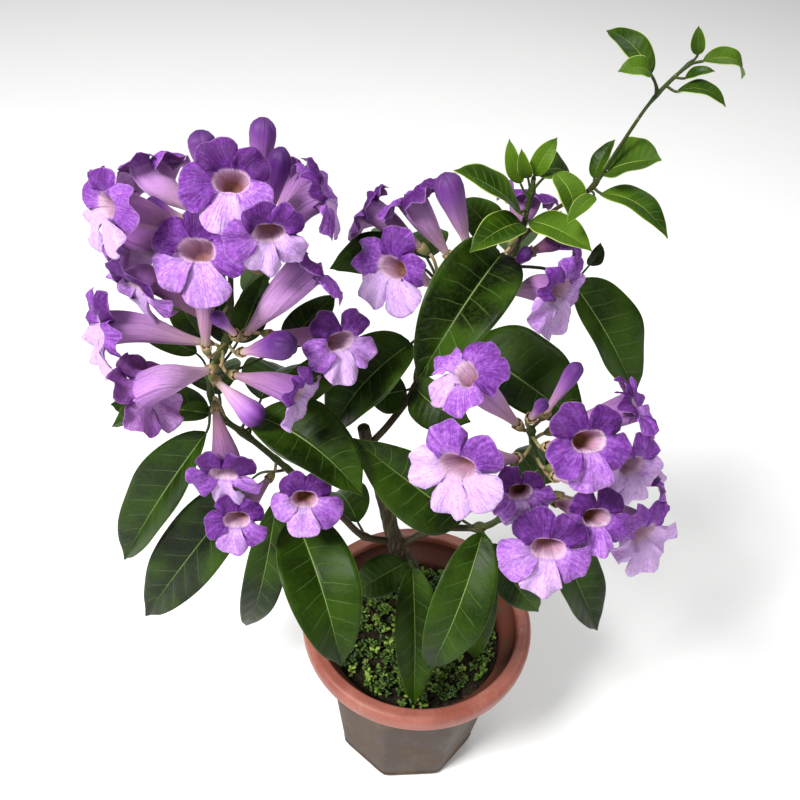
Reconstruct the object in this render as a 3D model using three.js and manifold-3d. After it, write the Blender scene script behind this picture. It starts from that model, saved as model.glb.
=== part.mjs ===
// Potted garlic vine: a woody climber with violet trumpet flowers in a plastic pot.
// Millimetres, +Z up. The origin is the middle of the pot's underside, and -Y is the front.

import * as THREE from "three";
import Module from "manifold-3d";

const wasm = await Module();
wasm.setup();

// Driving dimensions of the pot
const POT_HEIGHT = 180;
const RIM_RADIUS = 104.5;
const RIM_OPENING = 91.5;
const BODY_TOP_RADIUS = 88;
const BODY_BASE_RADIUS = 70;
const POT_SIDES = 8;
const POT_STEPS = 32;
const POT_PANEL_ANGLE = (2 * Math.PI) / POT_SIDES;
const POT_CORNER_ANGLE = Math.PI / 8 + 0.12;
const FLOOR_THICKNESS = 5;
const DRAIN_HOLES = 6;
const DRAIN_RADIUS = 5;
const DRAIN_CIRCLE = 38;

// Driving dimensions of the plant
const GAP = 0.35;
const SLIVER = 0.08;
const SOIL_HEIGHT = 148;
const SOIL_CROWN = 1.5;
const TRUNK_SIDES = 8;
const STEM_SIDES = 6;
const STALK_SIDES = 5;

// Driving dimensions of a leaf
const BLADE_THICKNESS = 0.8;
const BLADE_STEPS = 5;
const BLADE_TIP_HALF_WIDTH = 0.7;
const USUAL_ARCH = 0.16;
const USUAL_FOLD = 0.25;
const SMALL_LEAF = 32;
const PETIOLE_HALF_WIDTH = 1.3;
const PETIOLE_THICKNESS = 2;

// Driving dimensions of a flower
const PEDICEL_RADIUS = 1.2;
const CALYX_LENGTH = 8;
const CALYX_NECK = 1.3;
const CALYX_RADIUS = 4.1;
const CALYX_OPENING = 3.3;
const CALYX_DEPTH = 5;
const TUBE_FOOT_RADIUS = 2.2;
const TUBE_FOOT_DEPTH = 4.2;
const TUBE_MIDDLE = 0.45;
const TUBE_MIDDLE_SHARE = 0.27;
const TUBE_LEAVING = 0.4;
const TUBE_ARRIVING = 0.38;
const TUBE_SIDES = 10;
const MOUTH_SHARE = 0.43;
const MOUTH_WALL = 0.9;
const THROAT_DEPTH = 15;
const LOBES = 5;
const PETAL_THICKNESS = 0.8;
const PETAL_DROOP = 3;
const USUAL_TURN = 0.31;
const USUAL_NOTCH = 0.64;
const DEEP_NOTCH = 0.54;
const NOTCH_RISE = 2;
const SHOULDER_REACH = 0.92;
const SHOULDER_RISE = 3.2;
const SHOULDER_TURN = 0.12;
const LOBE_TIP_RISE = 2.5;
const BUD_SIDES = 6;

const vec = (p) => new THREE.Vector3(p[0], p[1], p[2]);
const unit = (p) => vec(p).normalize();
const lerp = THREE.MathUtils.lerp;

// Seeded random numbers, so that every build is the same
function makeRandom(seed) {
  let state = seed;
  return () => {
    state = (state * 1664525 + 1013904223) % 4294967296;
    return state / 4294967296;
  };
}

// A closed mesh held as points and triangles, turned into a solid
class Shell {
  constructor() {
    this.points = [];
    this.triangles = [];
  }

  point(p) {
    this.points.push(p.x, p.y, p.z);
    return this.points.length / 3 - 1;
  }

  ring(list) {
    return list.map((p) => this.point(p));
  }

  triangle(a, b, c) {
    this.triangles.push(a, b, c);
  }

  // Joins two closed rings of one length; the second lies further along the outward walk
  band(lower, upper) {
    const count = lower.length;
    for (let i = 0; i < count; i++) {
      const j = (i + 1) % count;
      this.triangle(lower[i], lower[j], upper[j]);
      this.triangle(lower[i], upper[j], upper[i]);
    }
  }

  fan(ring, apex, reversed = false) {
    const count = ring.length;
    for (let i = 0; i < count; i++) {
      const j = (i + 1) % count;
      if (reversed) {
        this.triangle(ring[j], ring[i], apex);
      } else {
        this.triangle(ring[i], ring[j], apex);
      }
    }
  }

  solid() {
    const mesh = new wasm.Mesh({
      numProp: 3,
      vertProperties: new Float32Array(this.points),
      triVerts: new Uint32Array(this.triangles),
    });
    return new wasm.Manifold(mesh);
  }
}

// Two directions square to an axis, turned by an angle around it
function crossAxes(axis, turn = 0) {
  const helper = Math.abs(axis.z) < 0.9 ? new THREE.Vector3(0, 0, 1) : new THREE.Vector3(0, 1, 0);
  const side = new THREE.Vector3().crossVectors(helper, axis).normalize();
  const up = new THREE.Vector3().crossVectors(axis, side);
  side.applyAxisAngle(axis, turn);
  up.applyAxisAngle(axis, turn);
  return [side, up];
}

function circlePoints(centre, side, up, radius, count) {
  const points = [];
  for (let i = 0; i < count; i++) {
    const angle = (2 * Math.PI * i) / count;
    points.push(
      centre
        .clone()
        .addScaledVector(side, radius * Math.cos(angle))
        .addScaledVector(up, radius * Math.sin(angle))
    );
  }
  return points;
}

// A tapered round stem through points chosen by hand
function stemSolid(path, startRadius, endRadius, sides, steps, grow = 0) {
  const curve = new THREE.CatmullRomCurve3(path.map(vec), false, "centripetal");
  const frames = curve.computeFrenetFrames(steps, false);
  const shell = new Shell();
  const rings = [];
  for (let i = 0; i <= steps; i++) {
    const t = i / steps;
    const centre = curve.getPointAt(t);
    const radius = lerp(startRadius, endRadius, t) + grow;
    const points = circlePoints(centre, frames.normals[i], frames.binormals[i], radius, sides);
    rings.push(shell.ring(points));
  }
  for (let i = 0; i < steps; i++) {
    shell.band(rings[i], rings[i + 1]);
  }
  const start = shell.point(curve.getPointAt(0));
  const end = shell.point(curve.getPointAt(1));
  shell.fan(rings[0], start, true);
  shell.fan(rings[steps], end);
  return shell.solid();
}

// Leaf outline: widest at two fifths of its length, with a drawn-out tip
function bladeWidth(t) {
  return 2.745 * Math.pow(t, 0.6) * Math.pow(1 - t, 0.9);
}

// A leaf: its petiole starts inside the stem, and its arched blade is folded up a little along the midrib
function leafSolid(leaf) {
  const foot = vec(leaf.foot);
  const tip = vec(leaf.tip);
  const chord = tip.clone().sub(foot);
  const face = unit(leaf.face);
  face.addScaledVector(chord, -face.dot(chord) / chord.lengthSq()).normalize();
  const arch = (leaf.arch ?? USUAL_ARCH) * chord.length();
  const fold = leaf.fold ?? USUAL_FOLD;
  const bend = foot.clone().add(tip).multiplyScalar(0.5).addScaledVector(face, 2 * arch);
  const midrib = new THREE.QuadraticBezierCurve3(foot, bend, tip);
  const start = vec(leaf.from);
  const shell = new Shell();
  const addRow = (middle, along, half, thickness) => {
    const side = new THREE.Vector3().crossVectors(along, face).normalize();
    const normal = new THREE.Vector3().crossVectors(side, along).normalize();
    return [-1, 0, 1].map((across) => {
      const top = middle
        .clone()
        .addScaledVector(side, across * half * Math.cos(fold))
        .addScaledVector(normal, Math.abs(across) * half * Math.sin(fold));
      const under = top.clone().addScaledVector(normal, -thickness);
      return [shell.point(top), shell.point(under)];
    });
  };
  const leaving = foot.clone().sub(start).normalize();
  const rows = [addRow(start, leaving, PETIOLE_HALF_WIDTH, PETIOLE_THICKNESS)];
  const steps = leaf.width < SMALL_LEAF ? BLADE_STEPS - 1 : BLADE_STEPS;
  for (let i = 0; i <= steps; i++) {
    const t = i / steps;
    const least = i === 0 ? PETIOLE_HALF_WIDTH : BLADE_TIP_HALF_WIDTH;
    const half = Math.max(0.5 * leaf.width * bladeWidth(t), least);
    const thickness = i === 0 ? PETIOLE_THICKNESS : BLADE_THICKNESS;
    rows.push(addRow(midrib.getPoint(t), midrib.getTangent(t), half, thickness));
  }
  for (let i = 0; i < rows.length - 1; i++) {
    const here = rows[i];
    const next = rows[i + 1];
    for (let k = 0; k < 2; k++) {
      shell.triangle(here[k][0], here[k + 1][0], next[k + 1][0]);
      shell.triangle(here[k][0], next[k + 1][0], next[k][0]);
      shell.triangle(here[k + 1][1], here[k][1], next[k + 1][1]);
      shell.triangle(next[k + 1][1], here[k][1], next[k][1]);
    }
    shell.triangle(here[0][1], here[0][0], next[0][0]);
    shell.triangle(here[0][1], next[0][0], next[0][1]);
    shell.triangle(here[2][0], here[2][1], next[2][1]);
    shell.triangle(here[2][0], next[2][1], next[2][0]);
  }
  const first = rows[0];
  const last = rows[rows.length - 1];
  for (let k = 0; k < 2; k++) {
    shell.triangle(first[k][1], first[k + 1][1], first[k + 1][0]);
    shell.triangle(first[k][1], first[k + 1][0], first[k][0]);
    shell.triangle(last[k][0], last[k + 1][0], last[k + 1][1]);
    shell.triangle(last[k][0], last[k + 1][1], last[k][1]);
  }
  return shell.solid();
}

// The direction in which a flower leaves its calyx
function flowerAxis(flower) {
  const straight = vec(flower.mouth).sub(vec(flower.base)).normalize();
  return flower.lean ? straight.add(vec(flower.lean)).normalize() : straight;
}

// A pedicel that widens into a cup, with a conical seat for the flower's foot
function calyxSolid(flower) {
  const axis = flowerAxis(flower);
  const base = vec(flower.base);
  const neck = base.clone().addScaledVector(axis, -CALYX_LENGTH);
  const from = vec(flower.from);
  const run = neck.clone().sub(from).normalize().add(axis).normalize();
  const stations = [
    [from, run, PEDICEL_RADIUS],
    [neck, axis, CALYX_NECK],
    [base, axis, CALYX_RADIUS],
    [base, axis, CALYX_OPENING],
  ];
  const shell = new Shell();
  const rings = stations.map(([centre, direction, radius]) => {
    const [side, up] = crossAxes(direction);
    return shell.ring(circlePoints(centre, side, up, radius, STALK_SIDES));
  });
  for (let i = 0; i < rings.length - 1; i++) {
    shell.band(rings[i], rings[i + 1]);
  }
  shell.fan(rings[0], shell.point(from), true);
  const seat = shell.point(base.clone().addScaledVector(axis, -CALYX_DEPTH));
  shell.fan(rings[rings.length - 1], seat);
  return shell.solid();
}

// The flower's tube runs on a smooth curve from its calyx to its mouth
function tubeCurve(flower) {
  const base = vec(flower.base);
  const mouth = vec(flower.mouth);
  const reach = mouth.distanceTo(base);
  const leave = base.clone().addScaledVector(flowerAxis(flower), TUBE_LEAVING * reach);
  const arrive = mouth.clone().addScaledVector(unit(flower.face), -TUBE_ARRIVING * reach);
  return new THREE.CubicBezierCurve3(base, leave, arrive, mouth);
}

// Radius and height of the limb's edge, four points to a lobe
function limbEdge(step, radius, notch) {
  const place = step % 4;
  if (place === 0) {
    return { turn: 0, reach: notch * radius, height: NOTCH_RISE };
  }
  if (place === 2) {
    return { turn: 0, reach: radius, height: LOBE_TIP_RISE - PETAL_DROOP };
  }
  const turn = place === 1 ? -SHOULDER_TURN : SHOULDER_TURN;
  return { turn, reach: SHOULDER_REACH * radius, height: SHOULDER_RISE - 0.6 * PETAL_DROOP };
}

// An open flower: narrow foot, funnel-shaped tube, and a spreading limb of five round lobes
function corollaSolid(flower) {
  const curve = tubeCurve(flower);
  const axis = flowerAxis(flower);
  const face = unit(flower.face);
  const notch = flower.notch ?? USUAL_NOTCH;
  const mouthRadius = MOUTH_SHARE * flower.radius;
  const tube = [
    [0, TUBE_FOOT_RADIUS],
    [TUBE_MIDDLE, TUBE_MIDDLE_SHARE * flower.radius],
    [1, mouthRadius],
  ];
  const shell = new Shell();
  const heart = shell.point(vec(flower.base).addScaledVector(axis, -TUBE_FOOT_DEPTH));
  const [faceSide, faceUp] = crossAxes(face, flower.turn ?? USUAL_TURN);
  const rings = tube.map(([t, radius]) => {
    const direction = curve.getTangent(t);
    const side = faceSide.clone().addScaledVector(direction, -faceSide.dot(direction)).normalize();
    const up = new THREE.Vector3().crossVectors(direction, side);
    return shell.ring(circlePoints(curve.getPoint(t), side, up, radius, TUBE_SIDES));
  });
  shell.fan(rings[0], heart, true);
  for (let i = 0; i < rings.length - 1; i++) {
    shell.band(rings[i], rings[i + 1]);
  }
  const mouth = vec(flower.mouth);
  const under = [];
  const over = [];
  for (let step = 0; step < 4 * LOBES; step++) {
    const edge = limbEdge(step, flower.radius, notch);
    const angle = (2 * Math.PI * step) / (4 * LOBES) + edge.turn;
    const point = mouth
      .clone()
      .addScaledVector(faceSide, edge.reach * Math.cos(angle))
      .addScaledVector(faceUp, edge.reach * Math.sin(angle))
      .addScaledVector(face, edge.height);
    under.push(shell.point(point));
    over.push(shell.point(point.clone().addScaledVector(face, PETAL_THICKNESS)));
  }
  const lip = circlePoints(
    mouth.clone().addScaledVector(face, PETAL_THICKNESS),
    faceSide,
    faceUp,
    mouthRadius - MOUTH_WALL,
    TUBE_SIDES
  );
  const lipRing = shell.ring(lip);
  const outer = rings[rings.length - 1];
  for (let i = 0; i < TUBE_SIDES; i++) {
    const j = (i + 1) % TUBE_SIDES;
    const [a, b, c] = [2 * i, 2 * i + 1, (2 * i + 2) % (2 * TUBE_SIDES)];
    shell.triangle(outer[i], under[b], under[a]);
    shell.triangle(outer[i], outer[j], under[b]);
    shell.triangle(outer[j], under[c], under[b]);
    shell.triangle(lipRing[i], over[a], over[b]);
    shell.triangle(lipRing[i], over[b], lipRing[j]);
    shell.triangle(lipRing[j], over[b], over[c]);
  }
  shell.band(under, over);
  const throat = shell.point(mouth.clone().addScaledVector(face, -THROAT_DEPTH));
  shell.fan(lipRing, throat);
  return shell.solid();
}

// A closed bud: a club that swells towards its blunt tip
function budSolid(flower) {
  const base = vec(flower.base);
  const tip = vec(flower.mouth);
  const axis = flowerAxis(flower);
  const reach = tip.distanceTo(base);
  const along = tip.clone().sub(base).normalize();
  const curve = new THREE.CubicBezierCurve3(
    base,
    base.clone().addScaledVector(axis, 0.35 * reach),
    tip.clone().addScaledVector(along, -0.35 * reach),
    tip
  );
  const profile = [
    [0, TUBE_FOOT_RADIUS],
    [0.35, Math.max(TUBE_FOOT_RADIUS + 0.4, 0.62 * flower.radius)],
    [0.68, flower.radius],
    [0.9, 0.78 * flower.radius],
  ];
  const shell = new Shell();
  const rings = profile.map(([t, radius]) => {
    const [side, up] = crossAxes(curve.getTangent(t));
    return shell.ring(circlePoints(curve.getPoint(t), side, up, radius, BUD_SIDES));
  });
  const heart = shell.point(base.clone().addScaledVector(axis, -TUBE_FOOT_DEPTH));
  shell.fan(rings[0], heart, true);
  for (let i = 0; i < rings.length - 1; i++) {
    shell.band(rings[i], rings[i + 1]);
  }
  shell.fan(rings[rings.length - 1], shell.point(tip));
  return shell.solid();
}

// The pot's wall turns from round at the rim to eight flat panels on the body
function potRing(radius, height, squareness) {
  const apothem = radius * Math.cos(Math.PI / POT_SIDES);
  const points = [];
  for (let i = 0; i < POT_STEPS; i++) {
    const angle = (2 * Math.PI * i) / POT_STEPS + POT_CORNER_ANGLE;
    const panel = (angle - POT_CORNER_ANGLE) % POT_PANEL_ANGLE;
    const flat = apothem / Math.cos(panel - POT_PANEL_ANGLE / 2);
    const reach = lerp(radius, flat, squareness);
    points.push(new THREE.Vector3(reach * Math.cos(angle), reach * Math.sin(angle), height));
  }
  return points;
}

// The pot's inside wall, also followed by the soil: radius and height, from the top down
const INSIDE_WALL = [
  [RIM_OPENING, POT_HEIGHT - 1.5],
  [RIM_OPENING - 2, POT_HEIGHT - 12],
  [BODY_TOP_RADIUS - 9, POT_HEIGHT - 26],
  [BODY_BASE_RADIUS - 9, FLOOR_THICKNESS],
];

function potSolid() {
  const outside = [
    [BODY_BASE_RADIUS - 2, 0, 1],
    [BODY_BASE_RADIUS, 2, 1],
    [BODY_TOP_RADIUS, POT_HEIGHT - 27, 1],
    [BODY_TOP_RADIUS, POT_HEIGHT - 22, 0.3],
    [BODY_TOP_RADIUS + 1, POT_HEIGHT - 19, 0],
    [RIM_RADIUS - 5, POT_HEIGHT - 18.5, 0],
    [RIM_RADIUS - 1, POT_HEIGHT - 16, 0],
    [RIM_RADIUS, POT_HEIGHT - 8, 0],
    [RIM_RADIUS - 3, POT_HEIGHT, 0],
    [RIM_OPENING + 1.5, POT_HEIGHT, 0],
  ];
  const shell = new Shell();
  const walk = outside.concat(INSIDE_WALL.map(([radius, height]) => [radius, height, 0]));
  const rings = walk.map(([radius, height, square]) => shell.ring(potRing(radius, height, square)));
  for (let i = 0; i < rings.length - 1; i++) {
    shell.band(rings[i], rings[i + 1]);
  }
  const under = shell.point(new THREE.Vector3(0, 0, 0));
  const floor = shell.point(new THREE.Vector3(0, 0, FLOOR_THICKNESS));
  shell.fan(rings[0], under, true);
  shell.fan(rings[rings.length - 1], floor);
  let pot = shell.solid();
  for (let i = 0; i < DRAIN_HOLES; i++) {
    const angle = (2 * Math.PI * i) / DRAIN_HOLES;
    const x = DRAIN_CIRCLE * Math.cos(angle);
    const y = DRAIN_CIRCLE * Math.sin(angle);
    const hole = [[x, y, -1], [x, y, FLOOR_THICKNESS + 1]];
    pot = pot.subtract(stemSolid(hole, DRAIN_RADIUS, DRAIN_RADIUS, TRUNK_SIDES, 1));
  }
  return pot;
}

// The trunk's foot is straight where it stands in the soil
const TRUNK_FOOT = 112;
const TRUNK_RADIUS = 9;
const TRUNK_TOP_RADIUS = 4.6;
const TRUNK_STEPS = 10;
const TRUNK_PATH = [
  [2, 0, SOIL_HEIGHT + 14],
  [-2, 0, 205],
  [-12, 0, 250],
  [-26, 0, 285],
  [-37, 0, 333],
  [-49, 0, 380],
  [-56, 0, 412],
];

function trunkSolid(grow = 0) {
  const [x, y] = TRUNK_PATH[0];
  const foot = [[x, y, TRUNK_FOOT - grow], [x, y, SOIL_HEIGHT + 16]];
  const below = stemSolid(foot, TRUNK_RADIUS, TRUNK_RADIUS, TRUNK_SIDES, 1, grow);
  const above = stemSolid(TRUNK_PATH, TRUNK_RADIUS, TRUNK_TOP_RADIUS, TRUNK_SIDES, TRUNK_STEPS, grow);
  return below.add(above);
}

const WALL_GAP = 0.55;

function soilSolid() {
  const shell = new Shell();
  const [wallRadius, wallTop] = INSIDE_WALL[2];
  const [floorRadius, floorHeight] = INSIDE_WALL[3];
  const slope = (wallRadius - floorRadius) / (wallTop - floorHeight);
  const topRadius = wallRadius - slope * (wallTop - SOIL_HEIGHT) - WALL_GAP;
  const baseRadius = floorRadius - WALL_GAP;
  const rings = [
    potRing(baseRadius, FLOOR_THICKNESS + GAP, 0),
    potRing(topRadius, SOIL_HEIGHT - 4, 0),
    potRing(0.8 * topRadius, SOIL_HEIGHT, 0),
    potRing(0.4 * topRadius, SOIL_HEIGHT + SOIL_CROWN, 0),
  ].map((points) => shell.ring(points));
  for (let i = 0; i < rings.length - 1; i++) {
    shell.band(rings[i], rings[i + 1]);
  }
  shell.fan(rings[0], shell.point(new THREE.Vector3(0, 0, FLOOR_THICKNESS + GAP)), true);
  shell.fan(rings[3], shell.point(new THREE.Vector3(0, 0, SOIL_HEIGHT + SOIL_CROWN)));
  return shell.solid().subtract(trunkSolid(GAP));
}

// Low weeds over the soil: a thin creeping mat with leaflets rising out of it
const COVER_THICKNESS = 3;
const COVER_RADIUS = 71;
const COVER_STEPS = 28;
const COVER_LEAFLETS = 24;
const COVER_SEED = 41;
const GOLDEN_ANGLE = 2.39996;

function leafletSolid(x, y, z, heading, tilt, size) {
  const out = new THREE.Vector3(Math.cos(heading), Math.sin(heading), 0);
  const side = new THREE.Vector3(-out.y, out.x, 0);
  const rise = new THREE.Vector3(0, 0, 1);
  const along = out.clone().multiplyScalar(Math.cos(tilt)).addScaledVector(rise, Math.sin(tilt));
  const normal = new THREE.Vector3().crossVectors(side, along);
  const foot = new THREE.Vector3(x, y, z);
  const outline = [
    foot.clone(),
    foot.clone().addScaledVector(along, 0.6 * size).addScaledVector(side, -0.42 * size),
    foot.clone().addScaledVector(along, size),
    foot.clone().addScaledVector(along, 0.6 * size).addScaledVector(side, 0.42 * size),
  ];
  const shell = new Shell();
  const lower = shell.ring(outline);
  const upper = shell.ring(outline.map((p) => p.clone().addScaledVector(normal, -BLADE_THICKNESS)));
  shell.band(lower, upper);
  shell.triangle(lower[0], lower[2], lower[1]);
  shell.triangle(lower[0], lower[3], lower[2]);
  shell.triangle(upper[0], upper[1], upper[2]);
  shell.triangle(upper[0], upper[2], upper[3]);
  return shell.solid();
}

function coverSolid() {
  const random = makeRandom(COVER_SEED);
  const shell = new Shell();
  const levels = [
    [0.94, 0],
    [1, 1],
    [0.94, COVER_THICKNESS],
  ];
  const under = SOIL_HEIGHT + SOIL_CROWN + GAP;
  const wobble = [];
  for (let i = 0; i < COVER_STEPS; i++) {
    wobble.push(0.9 + 0.1 * random());
  }
  const rings = levels.map(([share, rise]) => {
    const points = wobble.map((reach, i) => {
      const angle = (2 * Math.PI * i) / COVER_STEPS;
      const radius = COVER_RADIUS * reach * share;
      return new THREE.Vector3(radius * Math.cos(angle), radius * Math.sin(angle), under + rise);
    });
    return shell.ring(points);
  });
  shell.band(rings[0], rings[1]);
  shell.band(rings[1], rings[2]);
  shell.fan(rings[0], shell.point(new THREE.Vector3(0, 0, under)), true);
  shell.fan(rings[2], shell.point(new THREE.Vector3(0, 0, under + COVER_THICKNESS)));
  let cover = shell.solid();
  for (let i = 0; i < COVER_LEAFLETS; i++) {
    const angle = GOLDEN_ANGLE * i;
    const radius = 16 + 44 * Math.sqrt((i + 0.5) / COVER_LEAFLETS);
    const x = radius * Math.cos(angle);
    const y = radius * Math.sin(angle);
    const heading = 2 * Math.PI * random();
    const tilt = 0.5 + 0.6 * random();
    const size = 9 + 4 * random();
    cover = cover.add(leafletSolid(x, y, under + 1.2, heading, tilt, size));
  }
  return cover.subtract(trunkSolid(GAP));
}

// Stems: hand-chosen routes with their radius at both ends
const LEFT_STEM = [
  [-27, 0, 283],
  [-51, -8, 296],
  [-71, -12, 325],
  [-108, -12, 370],
  [-144, -8, 405],
  [-158, -6, 416],
  [-166, -4, 434],
  [-163, -4, 466],
];
const LEFT_RACHIS = [
  [-163, -4, 463],
  [-158, -5, 474],
  [-150, -4, 490],
  [-147, 4, 525],
  [-147, 10, 565],
];
const RIGHT_STEM = [
  [-22, 0, 276],
  [-6, -5, 300],
  [12, -10, 316],
  [39, -25, 338],
  [52, -44, 375],
  [64, -64, 420],
];
const RIGHT_RACHIS = [
  [63, -62, 416],
  [67, -70, 434],
  [64, -73, 455],
  [55, -73, 480],
  [52, -72, 492],
];
const LOW_TWIG = [
  [-11, 0, 250],
  [-12, -8, 264],
  [-11, -13, 274],
];
const MIDDLE_STEM = [
  [-52, 0, 392],
  [-36, 8, 412],
  [-20, 22, 436],
  [-12, 36, 480],
  [-10, 40, 515],
  [4, 40, 530],
  [26, 34, 540],
  [38, 26, 548],
];
const YOUNG_STEM = [
  [37, 26.6, 547.3],
  [39, 23, 566],
  [41, 24, 590],
  [42, 26, 610],
];
const LONG_STEM = [
  [31, 30.7, 543.3],
  [44, 38, 562],
  [60, 34, 585],
  [76, 20, 608],
  [87, 16, 639],
  [97, 12, 668],
  [106, 10, 684],
  [114, 10, 694],
];

// Leaves: "from" is on the stem, "foot" and "tip" are the blade's ends, and "face" is its upper side
const LEFT_LEAVES = [
  {
    from: [-165, -4, 430], foot: [-173, -3, 398], tip: [-258, -6, 238],
    width: 54, face: [-0.6, -0.8, 0.3], arch: 0.03, fold: 0.55,
  },
  {
    from: [-112, -12, 374], foot: [-143, 4, 343], tip: [-250, -8, 158],
    width: 60, face: [-0.4, -0.9, 0.3], arch: 0.04, fold: 0.38,
  },
  {
    from: [-100, -12, 361], foot: [-124, 2, 322], tip: [-158, -5, 150],
    width: 36, face: [0.2, -0.9, 0.1], arch: 0.12,
  },
  {
    from: [-92, -12, 350], foot: [-104, -26, 332], tip: [-60, -108, 262],
    width: 62, face: [0.2, -0.6, 0.8], arch: 0.24, fold: 0.45,
  },
  {
    from: [-146, -8, 406], foot: [-132, -14, 429], tip: [-51, -60, 403],
    width: 57, face: [0.2, -0.2, 0.95], arch: 0.14, fold: 0.36,
  },
  {
    from: [-166, -4, 436], foot: [-171, 4, 410], tip: [-248, 5, 388],
    width: 44, face: [-0.3, -0.1, 0.9], arch: 0.15, fold: 0.36,
  },
  {
    from: [-165.5, -4, 440], foot: [-176, 12, 406], tip: [-258, 34, 384],
    width: 34, face: [-0.3, -0.4, 0.9], arch: 0.08,
  },
  {
    from: [-164, -5, 425], foot: [-168, -8, 429], tip: [-187, -12, 429],
    width: 8, face: [0.1, -0.5, 0.8],
  },
  {
    from: [-51, -8, 296], foot: [-58, 10, 292], tip: [-86, 74, 250],
    width: 42, face: [-0.2, 0.4, 0.9],
  },
  {
    from: [-140, -8, 402], foot: [-134, 14, 420], tip: [-120, 96, 372],
    width: 52, face: [0, 0.5, 0.85],
  },
  {
    from: [-160, -6, 420], foot: [-166, 18, 418], tip: [-196, 92, 360],
    width: 50, face: [-0.2, 0.5, 0.8],
  },
  {
    from: [-164, -3, 454], foot: [-158, 22, 464], tip: [-161, 48, 508],
    width: 24, face: [-0.3, -0.6, 0.7],
  },
  {
    from: [-164, -3, 456], foot: [-149, 20, 468], tip: [-131, 46, 512],
    width: 26, face: [0.3, -0.6, 0.7],
  },
  {
    from: [-158, 20, 462], foot: [-146, 38, 500], tip: [-132, 56, 532],
    width: 24, face: [0.2, 0.5, -0.8], arch: 0.08,
  },
  {
    from: [-163, -3, 452], foot: [-114, 16, 474], tip: [-80, 32, 508],
    width: 26, face: [0.3, -0.6, 0.7], arch: 0.1,
  },
  {
    from: [-165, -3, 454], foot: [-170, 16, 468], tip: [-198, 42, 502],
    width: 24, face: [-0.3, -0.6, 0.7],
  },
  {
    from: [-165, -3, 450], foot: [-178, 14, 460], tip: [-228, 32, 468],
    width: 20, face: [-0.2, -0.5, 0.8], arch: 0.1,
  },
  {
    from: [-144, -8, 405], foot: [-116, 4, 426], tip: [-60, 16, 474],
    width: 30, face: [0.1, -0.5, 0.8], arch: 0.08,
  },
];
const RIGHT_LEAVES = [
  {
    from: [36, -23, 335], foot: [24, -26, 346], tip: [-62, -26, 426],
    width: 54, face: [0.3, -0.85, 0.4], arch: 0.06, fold: 0.35,
  },
  {
    from: [39, -25, 338], foot: [40, -34, 343], tip: [8, -88, 236],
    width: 48, face: [0, -0.8, 0.5], arch: 0.18, fold: 0.34,
  },
  {
    from: [40, -25, 340], foot: [47, -26, 320], tip: [94, -48, 266],
    width: 32, face: [0.1, -0.9, 0.4], arch: 0.14,
  },
  {
    from: [62, -60, 414], foot: [88, -44, 365], tip: [143, -55, 256],
    width: 46, face: [0.6, -0.7, 0.4], arch: 0.02, fold: 0.38,
  },
  {
    from: [38, -24, 336], foot: [44, -16, 320], tip: [50, -48, 190],
    width: 32, face: [-0.1, -0.9, 0.3], arch: 0.12,
  },
  {
    from: [-2, -7, 303], foot: [8, 10, 300], tip: [44, 72, 250],
    width: 44, face: [0.2, 0.4, 0.9],
  },
  {
    from: [50, -40, 368], foot: [62, -20, 380], tip: [116, 46, 330],
    width: 50, face: [0.2, 0.4, 0.85],
  },
  {
    from: [62, -60, 412], foot: [76, -40, 420], tip: [150, 0, 372],
    width: 48, face: [0.3, 0.2, 0.9],
  },
];
const LOW_LEAVES = [
  {
    from: [-11, -12, 272], foot: [-10, -18, 274], tip: [0, -83, 168],
    width: 42, face: [0.2, -0.8, 0.5], arch: 0.07, fold: 0.47,
  },
  {
    from: [-12, -9, 266], foot: [-16, -14, 273], tip: [-55, -24, 242],
    width: 34, face: [-0.2, -0.6, 0.7],
  },
];
const MIDDLE_LEAVES = [
  {
    from: [29, 32.5, 541.5], foot: [28, 16, 560], tip: [-21, -57, 508],
    width: 58, face: [0, -0.6, 0.8], arch: 0.2, fold: 0.58,
  },
  {
    from: [-12, 36, 482], foot: [-25, 36, 466], tip: [-78, 6, 402],
    width: 58, face: [-0.3, -0.5, 0.8], arch: 0.16, fold: 0.5,
  },
  {
    from: [-20, 22, 436], foot: [-26, 26, 429], tip: [-52, 26, 416],
    width: 34, face: [-0.3, -0.6, 0.7],
  },
  {
    from: [-16, 30, 460], foot: [-20, 22, 437], tip: [22, -5, 430],
    width: 38, face: [-0.4, -0.8, 0.4], arch: 0.2,
  },
  {
    from: [-10, 40, 500], foot: [16, 33, 470], tip: [98, -26, 452],
    width: 72, face: [0.1, -0.3, 0.95], arch: 0.03, fold: 0.38,
  },
  {
    from: [24, 35, 539], foot: [80, 30, 533], tip: [142, 22, 442],
    width: 55, face: [0.6, -0.6, 0.5], arch: 0.05, fold: 0.45,
  },
  {
    from: [-10, 42, 514], foot: [-18, 66, 520], tip: [-50, 142, 470],
    width: 56, face: [-0.1, 0.5, 0.85],
  },
  {
    from: [10, 40, 532], foot: [22, 66, 534], tip: [52, 138, 478],
    width: 54, face: [0.1, 0.5, 0.85],
  },
  {
    from: [-16, 28, 456], foot: [-4, 52, 448], tip: [22, 122, 392],
    width: 54, face: [0.1, 0.5, 0.85],
  },
  {
    from: [-10, 41, 516], foot: [-28, 48, 528], tip: [-86, 44, 520],
    width: 40, face: [-0.2, -0.3, 0.9],
  },
  {
    from: [16, 39, 535], foot: [28, 60, 546], tip: [1, 66, 570],
    width: 28, face: [-0.3, -0.5, 0.8], arch: 0.1,
  },
  {
    from: [78, 30, 533], foot: [87, 21, 553], tip: [91, 24, 569],
    width: 11, face: [0.2, -0.8, 0.4],
  },
];
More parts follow.
